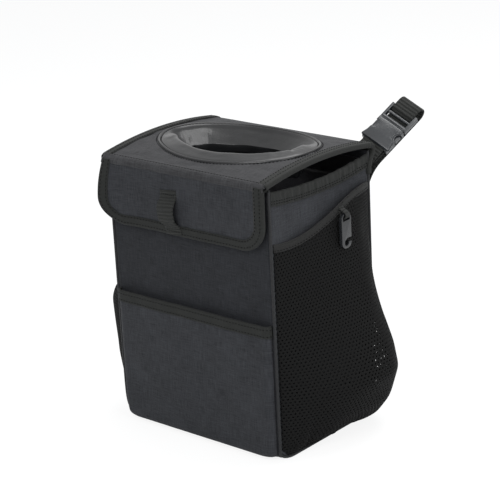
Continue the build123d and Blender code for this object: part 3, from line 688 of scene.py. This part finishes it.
# Lid: an arched panel of the same cloth with an oval hole, turned over a stitched fold at the front.
# A board stiffens it, a smooth lining covers its underside and ribbed tape binds its side edges.
# At the back a strip of the same cloth, bound like it, is its hinge.
lid_half, lid_front, lid_back, oval_y, board_thick, half_edge = 100.0, -80.7, 76.5, 2.5, 1.5, 1.7
chord = np.array([(lid_front, 273.4), (15.0, 281.0), (75.5, 275.0)])
arch_centre = np.linalg.solve(2 * np.diff(chord, axis=0), np.diff((chord ** 2).sum(1)))
arch_radius = np.linalg.norm(chord[0] - arch_centre)


def arch(y):
    """Height of the lid's top: a circle through its front edge, its crown and its back edge."""
    return arch_centre[1] + np.sqrt(arch_radius ** 2 - (y - arch_centre[0]) ** 2)


def oval(turn, inset):
    """Point of the collar's oval by its normal's heading: two end arcs and two flatter side arcs, set in."""
    end = np.abs(np.cos(turn)) > 0.6
    centre_x = np.where(end, 36 * np.sign(np.cos(turn)), 0)
    centre_y = np.where(end, 0, -48 * np.sign(np.sin(turn)))
    radius = np.where(end, 50, 110) - inset
    return spots(centre_x + radius * np.cos(turn), oval_y + centre_y + radius * np.sin(turn))


corners = np.arctan2([lid_back - oval_y, lid_back - oval_y, lid_front - oval_y, lid_front - oval_y],
                     [lid_half, -lid_half, lid_half, -lid_half]) % math.tau
bearing = np.unique(np.concatenate([np.linspace(0, math.tau, 241)[:-1], corners]))


def lid_plan(inset, count, reach=lid_half, front=lid_front, back=lid_back):
    """Plan of a lid layer and each ring's share of the way out: rings from the oval to the edge, along rays."""
    dense = np.linspace(0, math.tau, 1441)[:-1]
    hole = oval(dense, inset) - [0, oval_y]
    heading = np.arctan2(hole[:, 1], hole[:, 0]) % math.tau
    order = np.argsort(heading)
    distance = np.interp(bearing, heading[order], np.linalg.norm(hole, axis=1)[order], period=math.tau)
    ray = spots(np.cos(bearing), np.sin(bearing))
    to_side = reach / np.maximum(np.abs(ray[:, 0]), 1e-9)
    to_end = np.where(ray[:, 1] > 0, back - oval_y, oval_y - front) / np.maximum(np.abs(ray[:, 1]), 1e-9)
    share = np.linspace(0, 1, count)
    along_ray = distance[:, None] * (1 - share) + np.minimum(to_side, to_end)[:, None] * share
    return [0, oval_y] + along_ray[..., None] * ray[:, None], share


def lid_layer(name, plan, height, away=(0, 0, 100), **rest):
    """Layer of the lid: the rings of its plan at their heights, with the plan as its flat cloth."""
    points = spots(plan[..., 0], plan[..., 1], height)
    return skin(name, points, np.concatenate([plan, plan[:1]]), closed=True, away=away, **rest)


plan, share = lid_plan(2.5, 34)
x, y = plan[..., 0], plan[..., 1]
slack = (0.6 * ripple(x, y, 61, 55) + 0.35 * ripple(x, y, 62, 22)) * 4 * share * (1 - share)
groove = 0.7 * np.exp(-((y + 77.2) / 0.9) ** 2) + ramp(-78 - y, 2.7) ** 2
lid_cloth_finish = oxford("lid_oxford_cloth", (0.011, 0.011, 0.012), (0.052, 0.052, 0.055))
lid_cloth = lid_layer("lid_cloth", plan, arch(y) + slack - groove, thick=cloth, look=lid_cloth_finish)
fixed(lid_cloth, "lid", "lid_panel")

low, high = np.array(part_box("lid_board")) * 1000
plan, share = lid_plan(3.5, 16, high[0], low[1], high[1])
lid_stiffener = lid_layer("lid_stiffener", plan, arch(plan[..., 1]) - 1.1, thick=board_thick, look=board_sheet)
fixed(lid_stiffener, "lid", "lid_board")

plan, share = lid_plan(5, 20, 99.6, -80.2, 74)
under = arch(plan[..., 1]) - 3.2 - 0.3 * ripple(plan[..., 0], plan[..., 1], 63, 40)
lid_underside = lid_layer("lid_underside", plan, under, away=(0, 0, 500), look=liner_cloth)
fixed(lid_underside, "lid", "lid_lining")

fold_seam_y = -76.8
stitches("lid_fold_row", spots(np.linspace(-97, 97, 60), fold_seam_y, arch(fold_seam_y) + 0.2), upward, "lid")


def wrapped(upper, middle, bulge, half, lower):
    """Profile of a tape wrapped round an edge: along the top, round by half an ellipse and back below."""
    over = np.linspace(0, math.pi, 11)
    return np.vstack([upper, spots(middle + bulge * np.sin(over), half * np.cos(over)), lower])


edge_y = np.linspace(-80.6, 75.4, 90)
edge_z = arch(edge_y) - half_edge - 1.2 * ramp(-77.5 - edge_y, 3.1) ** 2
lid_wrap = wrapped([(-9, 2.5), (-6, 2.8), (-3, 2.8)], 1.0, 1.6, 2.6, [(-3, -2.7), (-9, -2.6)])
for name, hand in sides:
    edge_path = spots(hand * lid_half, edge_y, edge_z)
    lid_tape = bound(f"lid_{name}_binding", edge_path, hand * rightward, upward, lid_wrap, (hand * 98, 0, 277))
    fixed(lid_tape, "lid", f"lid_{name}_tape")
    for row, inset in (("inner", 7.6), ("outer", 2.2)):
        stitches(f"lid_{name}_binding_{row}_row", edge_path + [-hand * inset, 0, 2.85], upward, "lid")

hinge_line = np.array([(72, -0.6), (74.5, -0.4), (76.6, 0.1), (79, -0.8), (81.2, -2.8), (82.3, -5.5),
                       (82.2, -8.5), (81, -11.5), (79, -14.5), (77, -17.5), (75.6, -21), (75.0, -25),
                       (74.9, -29)])
hinge_line[:, 1] += arch(np.minimum(hinge_line[:, 0], 76))
hinge_yz = even(hinge_line, 48)
hinge_yz[1:-1] = (hinge_yz[:-2] + 2 * hinge_yz[1:-1] + hinge_yz[2:]) / 4
row, x = grid(np.arange(48), np.linspace(-99.5, 99.5, 70))
slack = 0.4 * ripple(x, row * 1.3, 65, 45) * np.sin(math.pi * row / 47) ** 2
hinge_cloth = skin("hinge_cloth", spots(x, hinge_yz[:, :1] + slack, hinge_yz[:, 1:]), spots(x, row * 1.2),
                   away=(0, 70, 262), thick=0.8, look=patch_cloth)
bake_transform(hinge_cloth)
for name, hand in sides:
    hinge_edge = spots(hand * lid_half, hinge_yz[:, 0], hinge_yz[:, 1])
    ahead = unit(np.gradient(hinge_edge, axis=0))
    outwards = spots(0, -ahead[:, 2], ahead[:, 1])
    hinge_tape = bound(f"hinge_{name}_binding", hinge_edge - half_edge * outwards, hand * rightward, outwards,
                       lid_wrap, (hand * 98, 76, 265))
    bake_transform(hinge_tape)


# Collar: glossy coated leathercloth sewn round the oval, with a piped outer edge and a puffed ring.
# The ring rolls over a soft lip into a hanging wall with a level hem. Its far half sinks as a funnel.
leather, shader, pen = finish("glossy_leathercloth", 0.34, Coat_Weight=0.3, Coat_Roughness=0.13,
                              Specular_IOR_Level=0.25)
pebble = pen.node("TexVoronoi", {"Vector": cloth_spot(pen), "Scale": 0.9}, feature="SMOOTH_F1")
haze = noise(pen, cloth_spot(pen), 0.07, 4)
feed(shader, pen, (haze * 0.8 + pebble * 0.2).tint((0.003, 0.0032, 0.0036), (0.014, 0.0145, 0.0158)),
     0.3 + haze * 0.2, pebble * 0.35 + haze, 0.00022)
# Section of the collar: inset from the oval, rise above the lid or hem, and share of the way down to the hem.
piped_edge = [(-0.7, 0.0, 0), (-0.5, 1.0, 0), (0.0, 1.7, 0), (0.7, 1.9, 0), (1.4, 1.6, 0), (1.9, 0.6, 0)]
puffed_ring = [(2.5, 0.2, 0), (3.3, 0.8, 0), (5, 1.5, 0), (9, 2.3, 0), (12, 2.7, 0), (15, 2.9, 0), (17, 2.6, 0)]
soft_lip = [(18.6, 1.6, 0), (19.5, 0.0, 0), (19.9, -2.2, 0), (20.0, -3, 0.15)]
hanging_wall = [(20.2, -2, 0.4), (20.2, -1, 0.7), (19.8, 0.6, 0.93), (19.4, 0.0, 1), (18.6, 0, 1),
                (17.9, 1, 0.96), (17.6, -2, 0.5), (17.4, -3, 0.08)]
seam_below = [(15.5, -1.6, 0), (8, -0.6, 0), (0, -0.5, 0)]
section = np.array(piped_edge + puffed_ring + soft_lip + hanging_wall + seam_below)
looped = np.vstack([section, section[:1]])
section = along(looped, np.linspace(0, len(section), 113)[:-1], np.arange(len(looped)))
kernel = np.array([1, 2, 3, 2, 1]) / 9
section = sum(np.roll(section, k - 2, axis=0) * kernel[k] for k in range(5))
inset, rise, drop = section.T[:, :, None]
oval_round, hem_level = 76, 255
turn = np.linspace(0, math.tau, 241)[:-1]
outward = spots(np.cos(turn), np.sin(turn))
round_run = turn * oval_round
top = 1 - drop
lip = np.exp(-((inset - 16) / 5) ** 2) * top
ramps = ramp(np.stack([np.degrees(turn) - 12, 228 - np.degrees(turn)]), 46)
far = np.prod(ramps ** 2 * (3 - 2 * ramps), axis=0)
puff = 1.2 * np.maximum(-np.sin(turn), 0) * lip - 0.95 * np.maximum(inset - 3.2 - 17.5 * (1 - far), 0) * top
rise = rise * (1 - far * ramp(inset - 3.2, 3) * top)
crease = 0.9 * np.exp(-(((turn + 0.2 + math.pi) % math.tau - math.pi) / 0.07) ** 2) * lip
waves = 0.4 * ripple(round_run, inset, 71, 32) + 0.12 * ripple(round_run, inset, 73, 12)
waves = waves * ramp(inset - 4, 6) * top
sway = 1.2 * ripple(round_run, 0 * inset, 72, 60) * drop
x, y = np.moveaxis(oval(turn, 0) - (inset + 0.6 * sway)[..., None] * outward, -1, 0)
crown = top * (arch(y) + rise + puff - crease + waves) + drop * (hem_level + rise + sway)
collar_points = spots(x, y, crown)
section_run = distances(collar_points[:, 0])
flat = spots(np.append(turn, math.tau)[:, None] * oval_round, np.append(section_run, section_run[-1] + 1))
ring_points = np.swapaxes(np.concatenate([collar_points, collar_points[:1]]), 0, 1)
collar = skin("leather_collar", ring_points, flat, closed=True, look=leather)
fixed(collar, "lid", "opening_collar")
for row, inset, proud in (("outer", -2.0, 0.25), ("inner", 2.6, 0.5)):
    seam = oval(np.linspace(0, math.tau, 361), inset)
    seam = spots(seam[:, 0], seam[:, 1], arch(seam[:, 1]) + proud)
    stitches(f"collar_{row}_row", seam, upward, "lid", pitch=3.6, long=2.5)


# Flap: the front of the lid's cloth, hanging from the fold, with rounded bottom corners and a bound edge.
# It has a board and a lining behind. A webbing loop sewn on at both ends makes its pull.
flap_half, flap_top, flap_low, flap_round, lining_top = 98.0, 273.0, 209.0, 27.0, 268.8
flap_y, flap_board_y, flap_lining_y = -82.0, -80.95, -78.8


def flap_edge(z):
    """Half width of the flap at a height: full, then drawn in round the bottom corners."""
    below = np.clip(flap_low + flap_round - z, 0, flap_round)
    return flap_half - flap_round + np.sqrt(np.maximum(flap_round ** 2 - below ** 2, 0))


def flap_bow(x, z):
    """How far the flap stands forward: a soft belly, wavy at the free edge, with its left edge flared."""
    hang = ramp(flap_top - z, flap_top - flap_low)
    flare = 20 * hang * (1.6 - 1.2 * hang) * ramp(-x - 40, 58) ** 2
    waves = 0.7 * ripple(x, z, 81, 75) + 0.3 * ripple(x, z, 82, 28)
    return flare + 0.8 * np.sin(math.pi * hang) + waves * hang


def flap_layer(name, y, columns, levels, margin=0.0, away=(0, 0, 240), **rest):
    """Layer of the flap at y: as wide as the flap less a margin, bowed with it and tucked in at the fold."""
    share, z = grid(np.linspace(-1, 1, columns), levels)
    x = share * (flap_edge(z) - margin)
    tuck = 0.9 * ramp(z - 270, 3) ** 2
    return skin(name, spots(x, y - flap_bow(x, z) + tuck, z), spots(x, z), away=away, **rest)


flap_cloth = flap_layer("flap_cloth", flap_y, 110, np.linspace(flap_low, flap_top, 70), thick=cloth,
                        look=patch_cloth)
fixed(flap_cloth, "flap", "flap_panel")

flap_back = flap_layer("flap_back", flap_lining_y, 50, np.linspace(flap_low, lining_top, 40),
                       away=(0, -300, 240), thick=lining, look=liner_cloth)
fixed(flap_back, "flap", "flap_lining")

stiffener = flap_layer("flap_stiffener", flap_board_y, 60, np.linspace(flap_low + 1, lining_top, 40), margin=1,
                       thick=board_thick, look=board_sheet)
fixed(stiffener, "flap", "flap_board")

flap_tape_top, flap_tape_wide = 271.5, 10
bend = np.linspace(0, math.pi / 2, 24)
corner_middle = [flap_half - flap_round, flap_low + flap_round]
right_corner = corner_middle + flap_round * spots(np.cos(bend), -np.sin(bend))
edge_xz = even(np.vstack([[(flap_half, flap_tape_top)], right_corner, (right_corner * [-1, 1])[::-1],
                          [(-flap_half, flap_tape_top)]]), 220)
ahead = unit(np.gradient(edge_xz, axis=0))
edge_bow = flap_bow(*edge_xz.T)
edge_path = spots(edge_xz[:, 0], flap_y + half_edge - edge_bow, edge_xz[:, 1])
outside = spots(-ahead[:, 1], 0, ahead[:, 0])
inner_bow = flap_bow(*(edge_xz - flap_tape_wide * outside[:, [0, 2]]).T)
outside = outside + ((edge_bow - inner_bow) / flap_tape_wide)[:, None] * forward
flap_wrap = wrapped([(-10, 2.45), (-7, 2.6), (-3, 2.6)], -0.4, 1.3, 2.4, [(-3, -2.5), (-10, -2.45)])
flap_tape = bound("flap_binding", edge_path, outside, forward, flap_wrap, (0, -80, 236))
fixed(flap_tape, "flap", "flap_tape")
for row, inset in (("outer", 2.4), ("inner", 8.4)):
    stitches(f"flap_binding_{row}_row", edge_path - inset * outside + 2.65 * forward, forward, "flap")

fold_line = np.array([(-74.6, 0.15), (-75.9, 0.3), (-76.5, -0.15), (-77.1, -0.15), (-77.9, 0.6), (-78.8, 0.95),
                      (-79.8, 0.75), (-80.8, 0.1), (-81.7, -1.0), (-82.4, -2.6), (-82.5, -4.4), (-82.3, -6)])
fold_x = np.linspace(-99.3, 99.3, 80)
fold_y, fold_rise = even(fold_line, 26).T[:, :, None]
fold_z = arch(np.maximum(fold_y, lid_front)) + fold_rise
on_flap = 1 - ramp(fold_y + 81, 3)
fold_cloth = skin("fold_cloth", spots(fold_x, fold_y - on_flap * flap_bow(fold_x, fold_z), fold_z),
                  spots(fold_x, np.linspace(0, 12, 26)[:, None]), away=(0, -75, 266), thick=0.5,
                  look=lid_cloth_finish)
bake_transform(fold_cloth)


def web(name, path, across, half, edge_radius=0.75):
    """Flat webbing along a path: its width lies along the given directions and its edges are half circles."""
    turn = np.linspace(-math.pi / 2, math.pi / 2, 5)
    right = spots(half + edge_radius * np.cos(turn), edge_radius * np.sin(turn))
    return swept(name, path, *frames(path, across), np.vstack([right, -right]), shut=(1, 0.05), look=webbing)


webbing = ribbed("black_webbing", (0.005, 0.0055, 0.005), (0.03, 0.031, 0.029), 3.4, 0.0009)
tab_line = np.array([(-83.55, 210), (-83.55, 215), (-84.0, 217.5), (-90.2, 223.2), (-91.0, 227), (-91.0, 235),
                     (-90, 238.5), (-83.4, 244.6), (-82.75, 247), (-82.75, 252)])
tab_yz = np.pad(even(tab_line, 60), ((3, 3), (0, 0)), mode="reflect", reflect_type="odd")
tab_y, tab_z = (np.convolve(tab_yz[:, k], np.ones(7) / 7, "valid") for k in (0, 1))
tab_path = spots(np.linspace(-10.5, -16, 60), tab_y, tab_z)
pull = web("pull_loop", tab_path, rightward, 9.3)
fixed(pull, "flap", "pull_tab")
for row, place in (("low", 4), ("top", 54)):
    sewn = tab_path[place] + spots(np.linspace(-8.5, 8.5, 9), -0.8, 0)
    stitches(f"pull_loop_{row}_row", sewn, forward, "flap", pitch=2.4, long=1.8)


# Touch-fastener pads: one of hooks on the back of the flap, one of loops on the front under it.
# Both are woven black tape with a close pile, sewn flat on the cloth.
fastener, shader, pen = finish("black_touch_fastener", 0.85, Sheen_Weight=0.4, Sheen_Roughness=0.6)
pile = pen.node("TexVoronoi", {"Vector": solid_spot(pen), "Scale": 1100.0})
feed(shader, pen, pile.tint((0.03, 0.03, 0.031), (0.008, 0.008, 0.0085)), None, pile, -0.0006)
pads = (("hook_patch", "flap_hook_pad", "flap", 1), ("loop_patch", "front_loop_pad", "bin", -1))
for name, node, body, facing in pads:
    low, high = np.array(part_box(node)) * 1000
    x, z = grid(np.linspace(low[0], high[0], 121), np.linspace(low[2], high[2], 47))
    nap = 0.25 * np.sin(x * math.pi) * np.sin(z * math.pi * 1.02) + 0.12 * ripple(x, z, 91 + facing, 2.5)
    rim = rounded(np.minimum(np.minimum(x - low[0], high[0] - x), np.minimum(z - low[2], high[2] - z)), 1.2)
    proud = (high[1] if facing > 0 else low[1]) - facing * (0.35 - nap * rim + 0.5 * (1 - rim))
    proud = proud - (flap_bow(x, z) if facing > 0 else 0)
    patch = skin(name, spots(x, proud, z), spots(x, z), away=(0, -77 - 30 * facing, 235), thick=0.7,
                 look=fastener)
    fixed(patch, body, node)


# Strap: 25 mm woven webbing. The short end is sewn to the back and holds the buckle's socket.
# The long end runs from the clip over in a loop and down behind in a twisted swag to its anchor on the left.
lean, tilt = math.radians(25), math.radians(50)
across_right, across_left = (np.array([math.cos(lean), 0, -hand * math.sin(lean)]) for hand in (1, -1))
up_right, up_left = (np.array([hand * math.sin(lean), 0, math.cos(lean)]) for hand in (1, -1))
sewn_right, sewn_left = np.array([80.8, 74, 242.1]), np.array([-80.8, 74, 242.1])
half_thick, bend_radius, bar_offset, strap_half, sewn_long, straight = 0.75, 36.0, 2.6, 11.75, 40, 5
buckle_x = (half_thick + bend_radius * (1 - math.cos(tilt)) + straight * math.sin(tilt)
            + bar_offset * math.cos(tilt))
buckle_y = bend_radius * math.sin(tilt) + straight * math.cos(tilt) - bar_offset * math.sin(tilt)


def beside(along_buckle, out):
    """Point of the strap's plane, a way along the buckle and out from its face."""
    return spots(buckle_x + along_buckle * math.sin(tilt) - out * math.cos(tilt),
                 buckle_y + along_buckle * math.cos(tilt) + out * math.sin(tilt))


def lift(plane_points, origin, up):
    """Points of a strap's upright plane in space: the first coordinate runs backwards, the second up."""
    return origin - plane_points[..., :1] * forward + plane_points[..., 1:] * up


bow = np.linspace(0, tilt, 16)
half_turn = np.linspace(0, math.pi, 15)
short_path = lift(np.vstack([
    spots(half_thick, np.linspace(-sewn_long, -2, 20)),
    spots(half_thick + bend_radius * (1 - np.cos(bow)), bend_radius * np.sin(bow)),
    beside(np.linspace(-3, 1.5, 4), bar_offset),
    beside(2 + bar_offset * np.sin(half_turn), bar_offset * np.cos(half_turn)),
    beside(np.linspace(1.5, -13, 8), -bar_offset),
]), sewn_right, up_right)
short_web = web("short_webbing", short_path, across_right, strap_half)
fixed(short_web, "bin", "short_strap")

loop_radius, loop_at, anchor_radius = 7.0, 51.0, 7
under, under_bend = bar_offset - 2 * loop_radius, bend_radius - 2 * loop_radius
fall_x, fall_y = half_thick + bend_radius - under_bend, -8.0
loop_out = bar_offset - loop_radius
loop_path = lift(np.vstack([
    beside(np.linspace(30.5, 37.6, 8), -bar_offset),
    beside(40.3 - 2.2 * np.cos(half_turn), -bar_offset * np.cos(half_turn)),
    beside(np.linspace(43.2, loop_at - 0.8, 8), bar_offset),
    beside(loop_at + loop_radius * np.sin(half_turn), loop_out + loop_radius * np.cos(half_turn)),
    beside(np.linspace(loop_at - 1, -4, 40), under),
    spots(half_thick + bend_radius - under_bend * np.cos(bow[::-1]), under_bend * np.sin(bow[::-1])),
    spots(fall_x, np.linspace(-1.5, fall_y + 1, 4)),
]), sewn_right, up_right)
hang_x, hang_y, sag = half_thick + 2 * anchor_radius, -8.0, 90
swag_start = lift(np.array([fall_x, fall_y]), sewn_right, up_right)
swag_end = lift(np.array([hang_x, hang_y]), sewn_left, up_left)
t = np.linspace(0, 1, 70)[:, None]
swag = (swag_start * (1 - t) ** 3 + (swag_start - sag * up_right) * (3 * (1 - t) ** 2 * t)
        + (swag_end - sag * up_left) * (3 * (1 - t) * t * t) + swag_end * t ** 3)
ahead = unit(np.gradient(swag, axis=0))
level_across = unit(spots(-ahead[:, 2], 0, ahead[:, 0]))
twist = math.pi / 2 * np.sin(math.pi * t) ** 2
swag_across = level_across * np.cos(twist) + np.cross(ahead, level_across) * np.sin(twist)
anchor_path = lift(np.vstack([
    spots(hang_x, np.linspace(hang_y + 3, 5, 4)),
    spots(half_thick + anchor_radius * (1 + np.cos(half_turn)), 6 + anchor_radius * np.sin(half_turn)),
    spots(half_thick, np.linspace(4, -sewn_long, 20)),
]), sewn_left, up_left)
long_across = np.vstack([np.broadcast_to(across_right, loop_path.shape), swag_across,
                         np.broadcast_to(swag_across[-1], anchor_path.shape)])
long_web = web("long_webbing", np.vstack([loop_path, swag, anchor_path]), long_across, strap_half)
reach = 0.001 * lift(beside(np.array([2.0, 30.0]), under), sewn_right, up_right)
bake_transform(long_web)
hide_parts("long_strap")

box_across = np.array([-9, 9, 9, -9, -9, 9, -9, 9])[:, None]
box_up = np.array([-37, -37, -16, -16, -37, -16, -16, -37])[:, None]
sewn_ends = (("right", sewn_right, across_right, up_right), ("left", sewn_left, across_left, up_left))
for name, origin, across, up in sewn_ends:
    box_path = origin + [0, 1.55, 0] + box_across * across + box_up * up
    stitches(f"{name}_strap_box_row", box_path, -forward, "bin")


# Buckle and hook: satin black mouldings with softened edges and a fine sparked texture.
# The hook hangs from a doubled webbing tab on the right pocket's hem.
def in_buckle(across, along_buckle, out):
    """Point in space of a place on the buckle: across it, along it and out from its middle plane."""
    return lift(beside(along_buckle, out), sewn_right + across[..., None] * across_right, up_right)


notch_at, notch_across = 17.2, 17.6


def plate(side, start, end, half, base, face, height, notch=0.0, flare=0.0):
    """Crowned plate of a moulding: a dome with rounded edges above a flat base, as loops round its section.

    The loops run along the buckle. A notch draws the sides in along a circle beside the windows, a flare widens
    the round-cornered strap end, and the end loops close the plate.
    """
    b = np.concatenate([[0], 0.5 - 0.5 * np.cos(np.linspace(0.12, math.pi - 0.12, 41)), [1]])[:, None]
    a = np.sin(np.linspace(-math.pi / 2, math.pi / 2, 37))[None]
    at = start + b * (end - start)
    beside_window = np.sqrt(np.maximum(notch ** 2 - (at - notch_at) ** 2, 0))
    spread = flare * (np.exp(-((at - start) / 6) ** 2) - 1 + rounded(at - start, 2.5))
    wide = np.minimum(half + spread, notch_across - beside_window)
    edge = rounded(np.minimum(wide * (1 - np.abs(a)), np.minimum(at - start, end - at)), 1.7)
    dome = face + (height + 0.9) * edge - 0.9 - height * (0.55 * a ** 2 + 0.45 * (2 * b - 1) ** 2)
    top = in_buckle(a * wide, at + 0 * a, side * np.maximum(dome, base + 0.01))
    under = in_buckle((a * wide)[:, ::-1], at + 0 * a, side * np.full_like(dome, base))
    return np.concatenate([top, under], axis=1)


def bitten(shape, notch):
    """Cuts a round bite of a radius out of each side of the socket, beside the windows."""
    mesh = bpy.data.meshes.new("body")
    shape.to_mesh(mesh)
    carved = placed("carved", mesh)
    k = np.arange(32)
    ring, after = k * math.tau / 32, (k + 1) % 32
    walls = np.stack([k, after, 32 + after, 32 + k], -1).tolist()
    spent = [mesh]
    for hand in (-1, 1):
        rims = [in_buckle(hand * notch_across + notch * np.cos(ring), notch_at + notch * np.sin(ring), level)
                for level in (-9.0, 9.0)]
        drum = bpy.data.meshes.new("drum")
        drum.from_pydata((0.001 * np.vstack(rims)).tolist(), [], walls + [k[::-1].tolist(), (32 + k).tolist()])
        bite = carved.modifiers.new("bite", "BOOLEAN")
        bite.operation, bite.solver, bite.object = "DIFFERENCE", "EXACT", placed("drum", drum)
        spent.append(drum)
    cut = bpy.data.meshes.new_from_object(carved.evaluated_get(bpy.context.evaluated_depsgraph_get()))
    shape.clear()
    shape.from_mesh(cut)
    for mesh in (*spent, cut):
        bpy.data.meshes.remove(mesh)


def pillowed(shape, loops):
    """Adds a closed plate to a shape: loops of points joined along their length, with both ends filled."""
    rows, columns = loops.shape[:2]
    place = np.arange(rows * columns).reshape(rows, columns)
    after = np.roll(place, -1, axis=1)
    quads = np.stack([place[:-1], place[1:], after[1:], after[:-1]], -1).reshape(-1, 4)
    dome = bpy.data.meshes.new("dome")
    dome.from_pydata((0.001 * loops).reshape(-1, 3).tolist(), [], quads.tolist())
    pillow = bmesh.new()
    pillow.from_mesh(dome)
    bmesh.ops.remove_doubles(pillow, verts=pillow.verts, dist=2e-5)
    bmesh.ops.holes_fill(pillow, edges=pillow.edges)
    bmesh.ops.recalc_face_normals(pillow, faces=pillow.faces)
    pillow.to_mesh(dome)
    pillow.free()
    shape.from_mesh(dome)
    bpy.data.meshes.remove(dome)


def moulding(name, node, width, look, plates=(), notch=0.0):
    """Copy of a solid's mesh, merged, with bites and crowned plates, and its edges rounded by a bevel."""
    shape = bmesh.new()
    shape.from_mesh(bpy.data.objects[node].data)
    bmesh.ops.remove_doubles(shape, verts=shape.verts, dist=1e-6)
    bmesh.ops.dissolve_limit(shape, angle_limit=0.02, verts=shape.verts, edges=shape.edges)
    if notch:
        bitten(shape, notch)
    for loops in plates:
        pillowed(shape, loops)
    mesh = bpy.data.meshes.new(name)
    shape.to_mesh(mesh)
    shape.free()
    mesh.materials.clear()
    mesh.materials.append(look)
    mesh.polygons.foreach_set("use_smooth", np.ones(len(mesh.polygons), bool))
    piece = placed(name, mesh)
    soften = piece.modifiers.new("soften", "BEVEL")
    soften.width = width
    soften.segments = 3
    soften.angle_limit = math.radians(25)
    soften.harden_normals = True
    return piece


satin = grained("satin_moulded_plastic", 0.36, (0.011, 0.0125, 0.0145), (0.022, 0.0245, 0.028), solid_spot,
                1600.0, 2, 0.00008, gloss=(0.24, 0.12), Specular_IOR_Level=0.55)
shiny = grained("gloss_moulded_plastic", 0.3, (0.006, 0.0065, 0.0075), (0.016, 0.017, 0.019), solid_spot,
                900.0, 2, 0.00008, gloss=(0.22, 0.12), Specular_IOR_Level=0.5)
socket_form = {"end": 26.7, "half": 15.3, "base": 3.5, "notch": 5.6}
socket_plates = [plate(1, 0.6, face=4.5, height=1.9, flare=2.3, **socket_form),
                 plate(-1, 6.8, face=4.4, height=1.2, **socket_form)]
clip_plates = [plate(side, 27.5, end=30.8, half=15.2, base=2.2, face=2.8, height=0.6) for side in (1, -1)]
socket = moulding("socket_moulding", "buckle_socket", 0.0006, satin, socket_plates, 5.0)
fixed(socket, "bin", "buckle_socket")
clip = moulding("clip_moulding", "buckle_clip", 0.0005, satin, clip_plates)
fixed(clip, "clip", "buckle_clip")
hook = moulding("hook_moulding", "side_hook", 0.0006, shiny)
fixed(hook, "hook", "side_hook")

sewn_on, hung_from, tab_radius, hook_y = np.array([108.6, 226.5]), np.array([113.6, 222.5]), 3.4, 17.0
slant = unit(hung_from - sewn_on)
square = np.array([-slant[1], slant[0]])
round_bar = np.linspace(math.pi / 2, -math.pi / 2, 15)[:, None]
tab_turn = hung_from + tab_radius * (np.cos(round_bar) * slant + np.sin(round_bar) * square)
tab_x, tab_z = even(np.vstack([[sewn_on + (0.6, 3.4), sewn_on + (0.9, 1.6)], tab_turn,
                               [sewn_on + (0.2, -0.8), sewn_on + (0.4, -2.8)]]), 50).T
hook_loop = web("hook_loop", spots(tab_x, hook_y, tab_z), -forward, 2.7, 0.5)
fixed(hook_loop, "bin", "hook_tab")
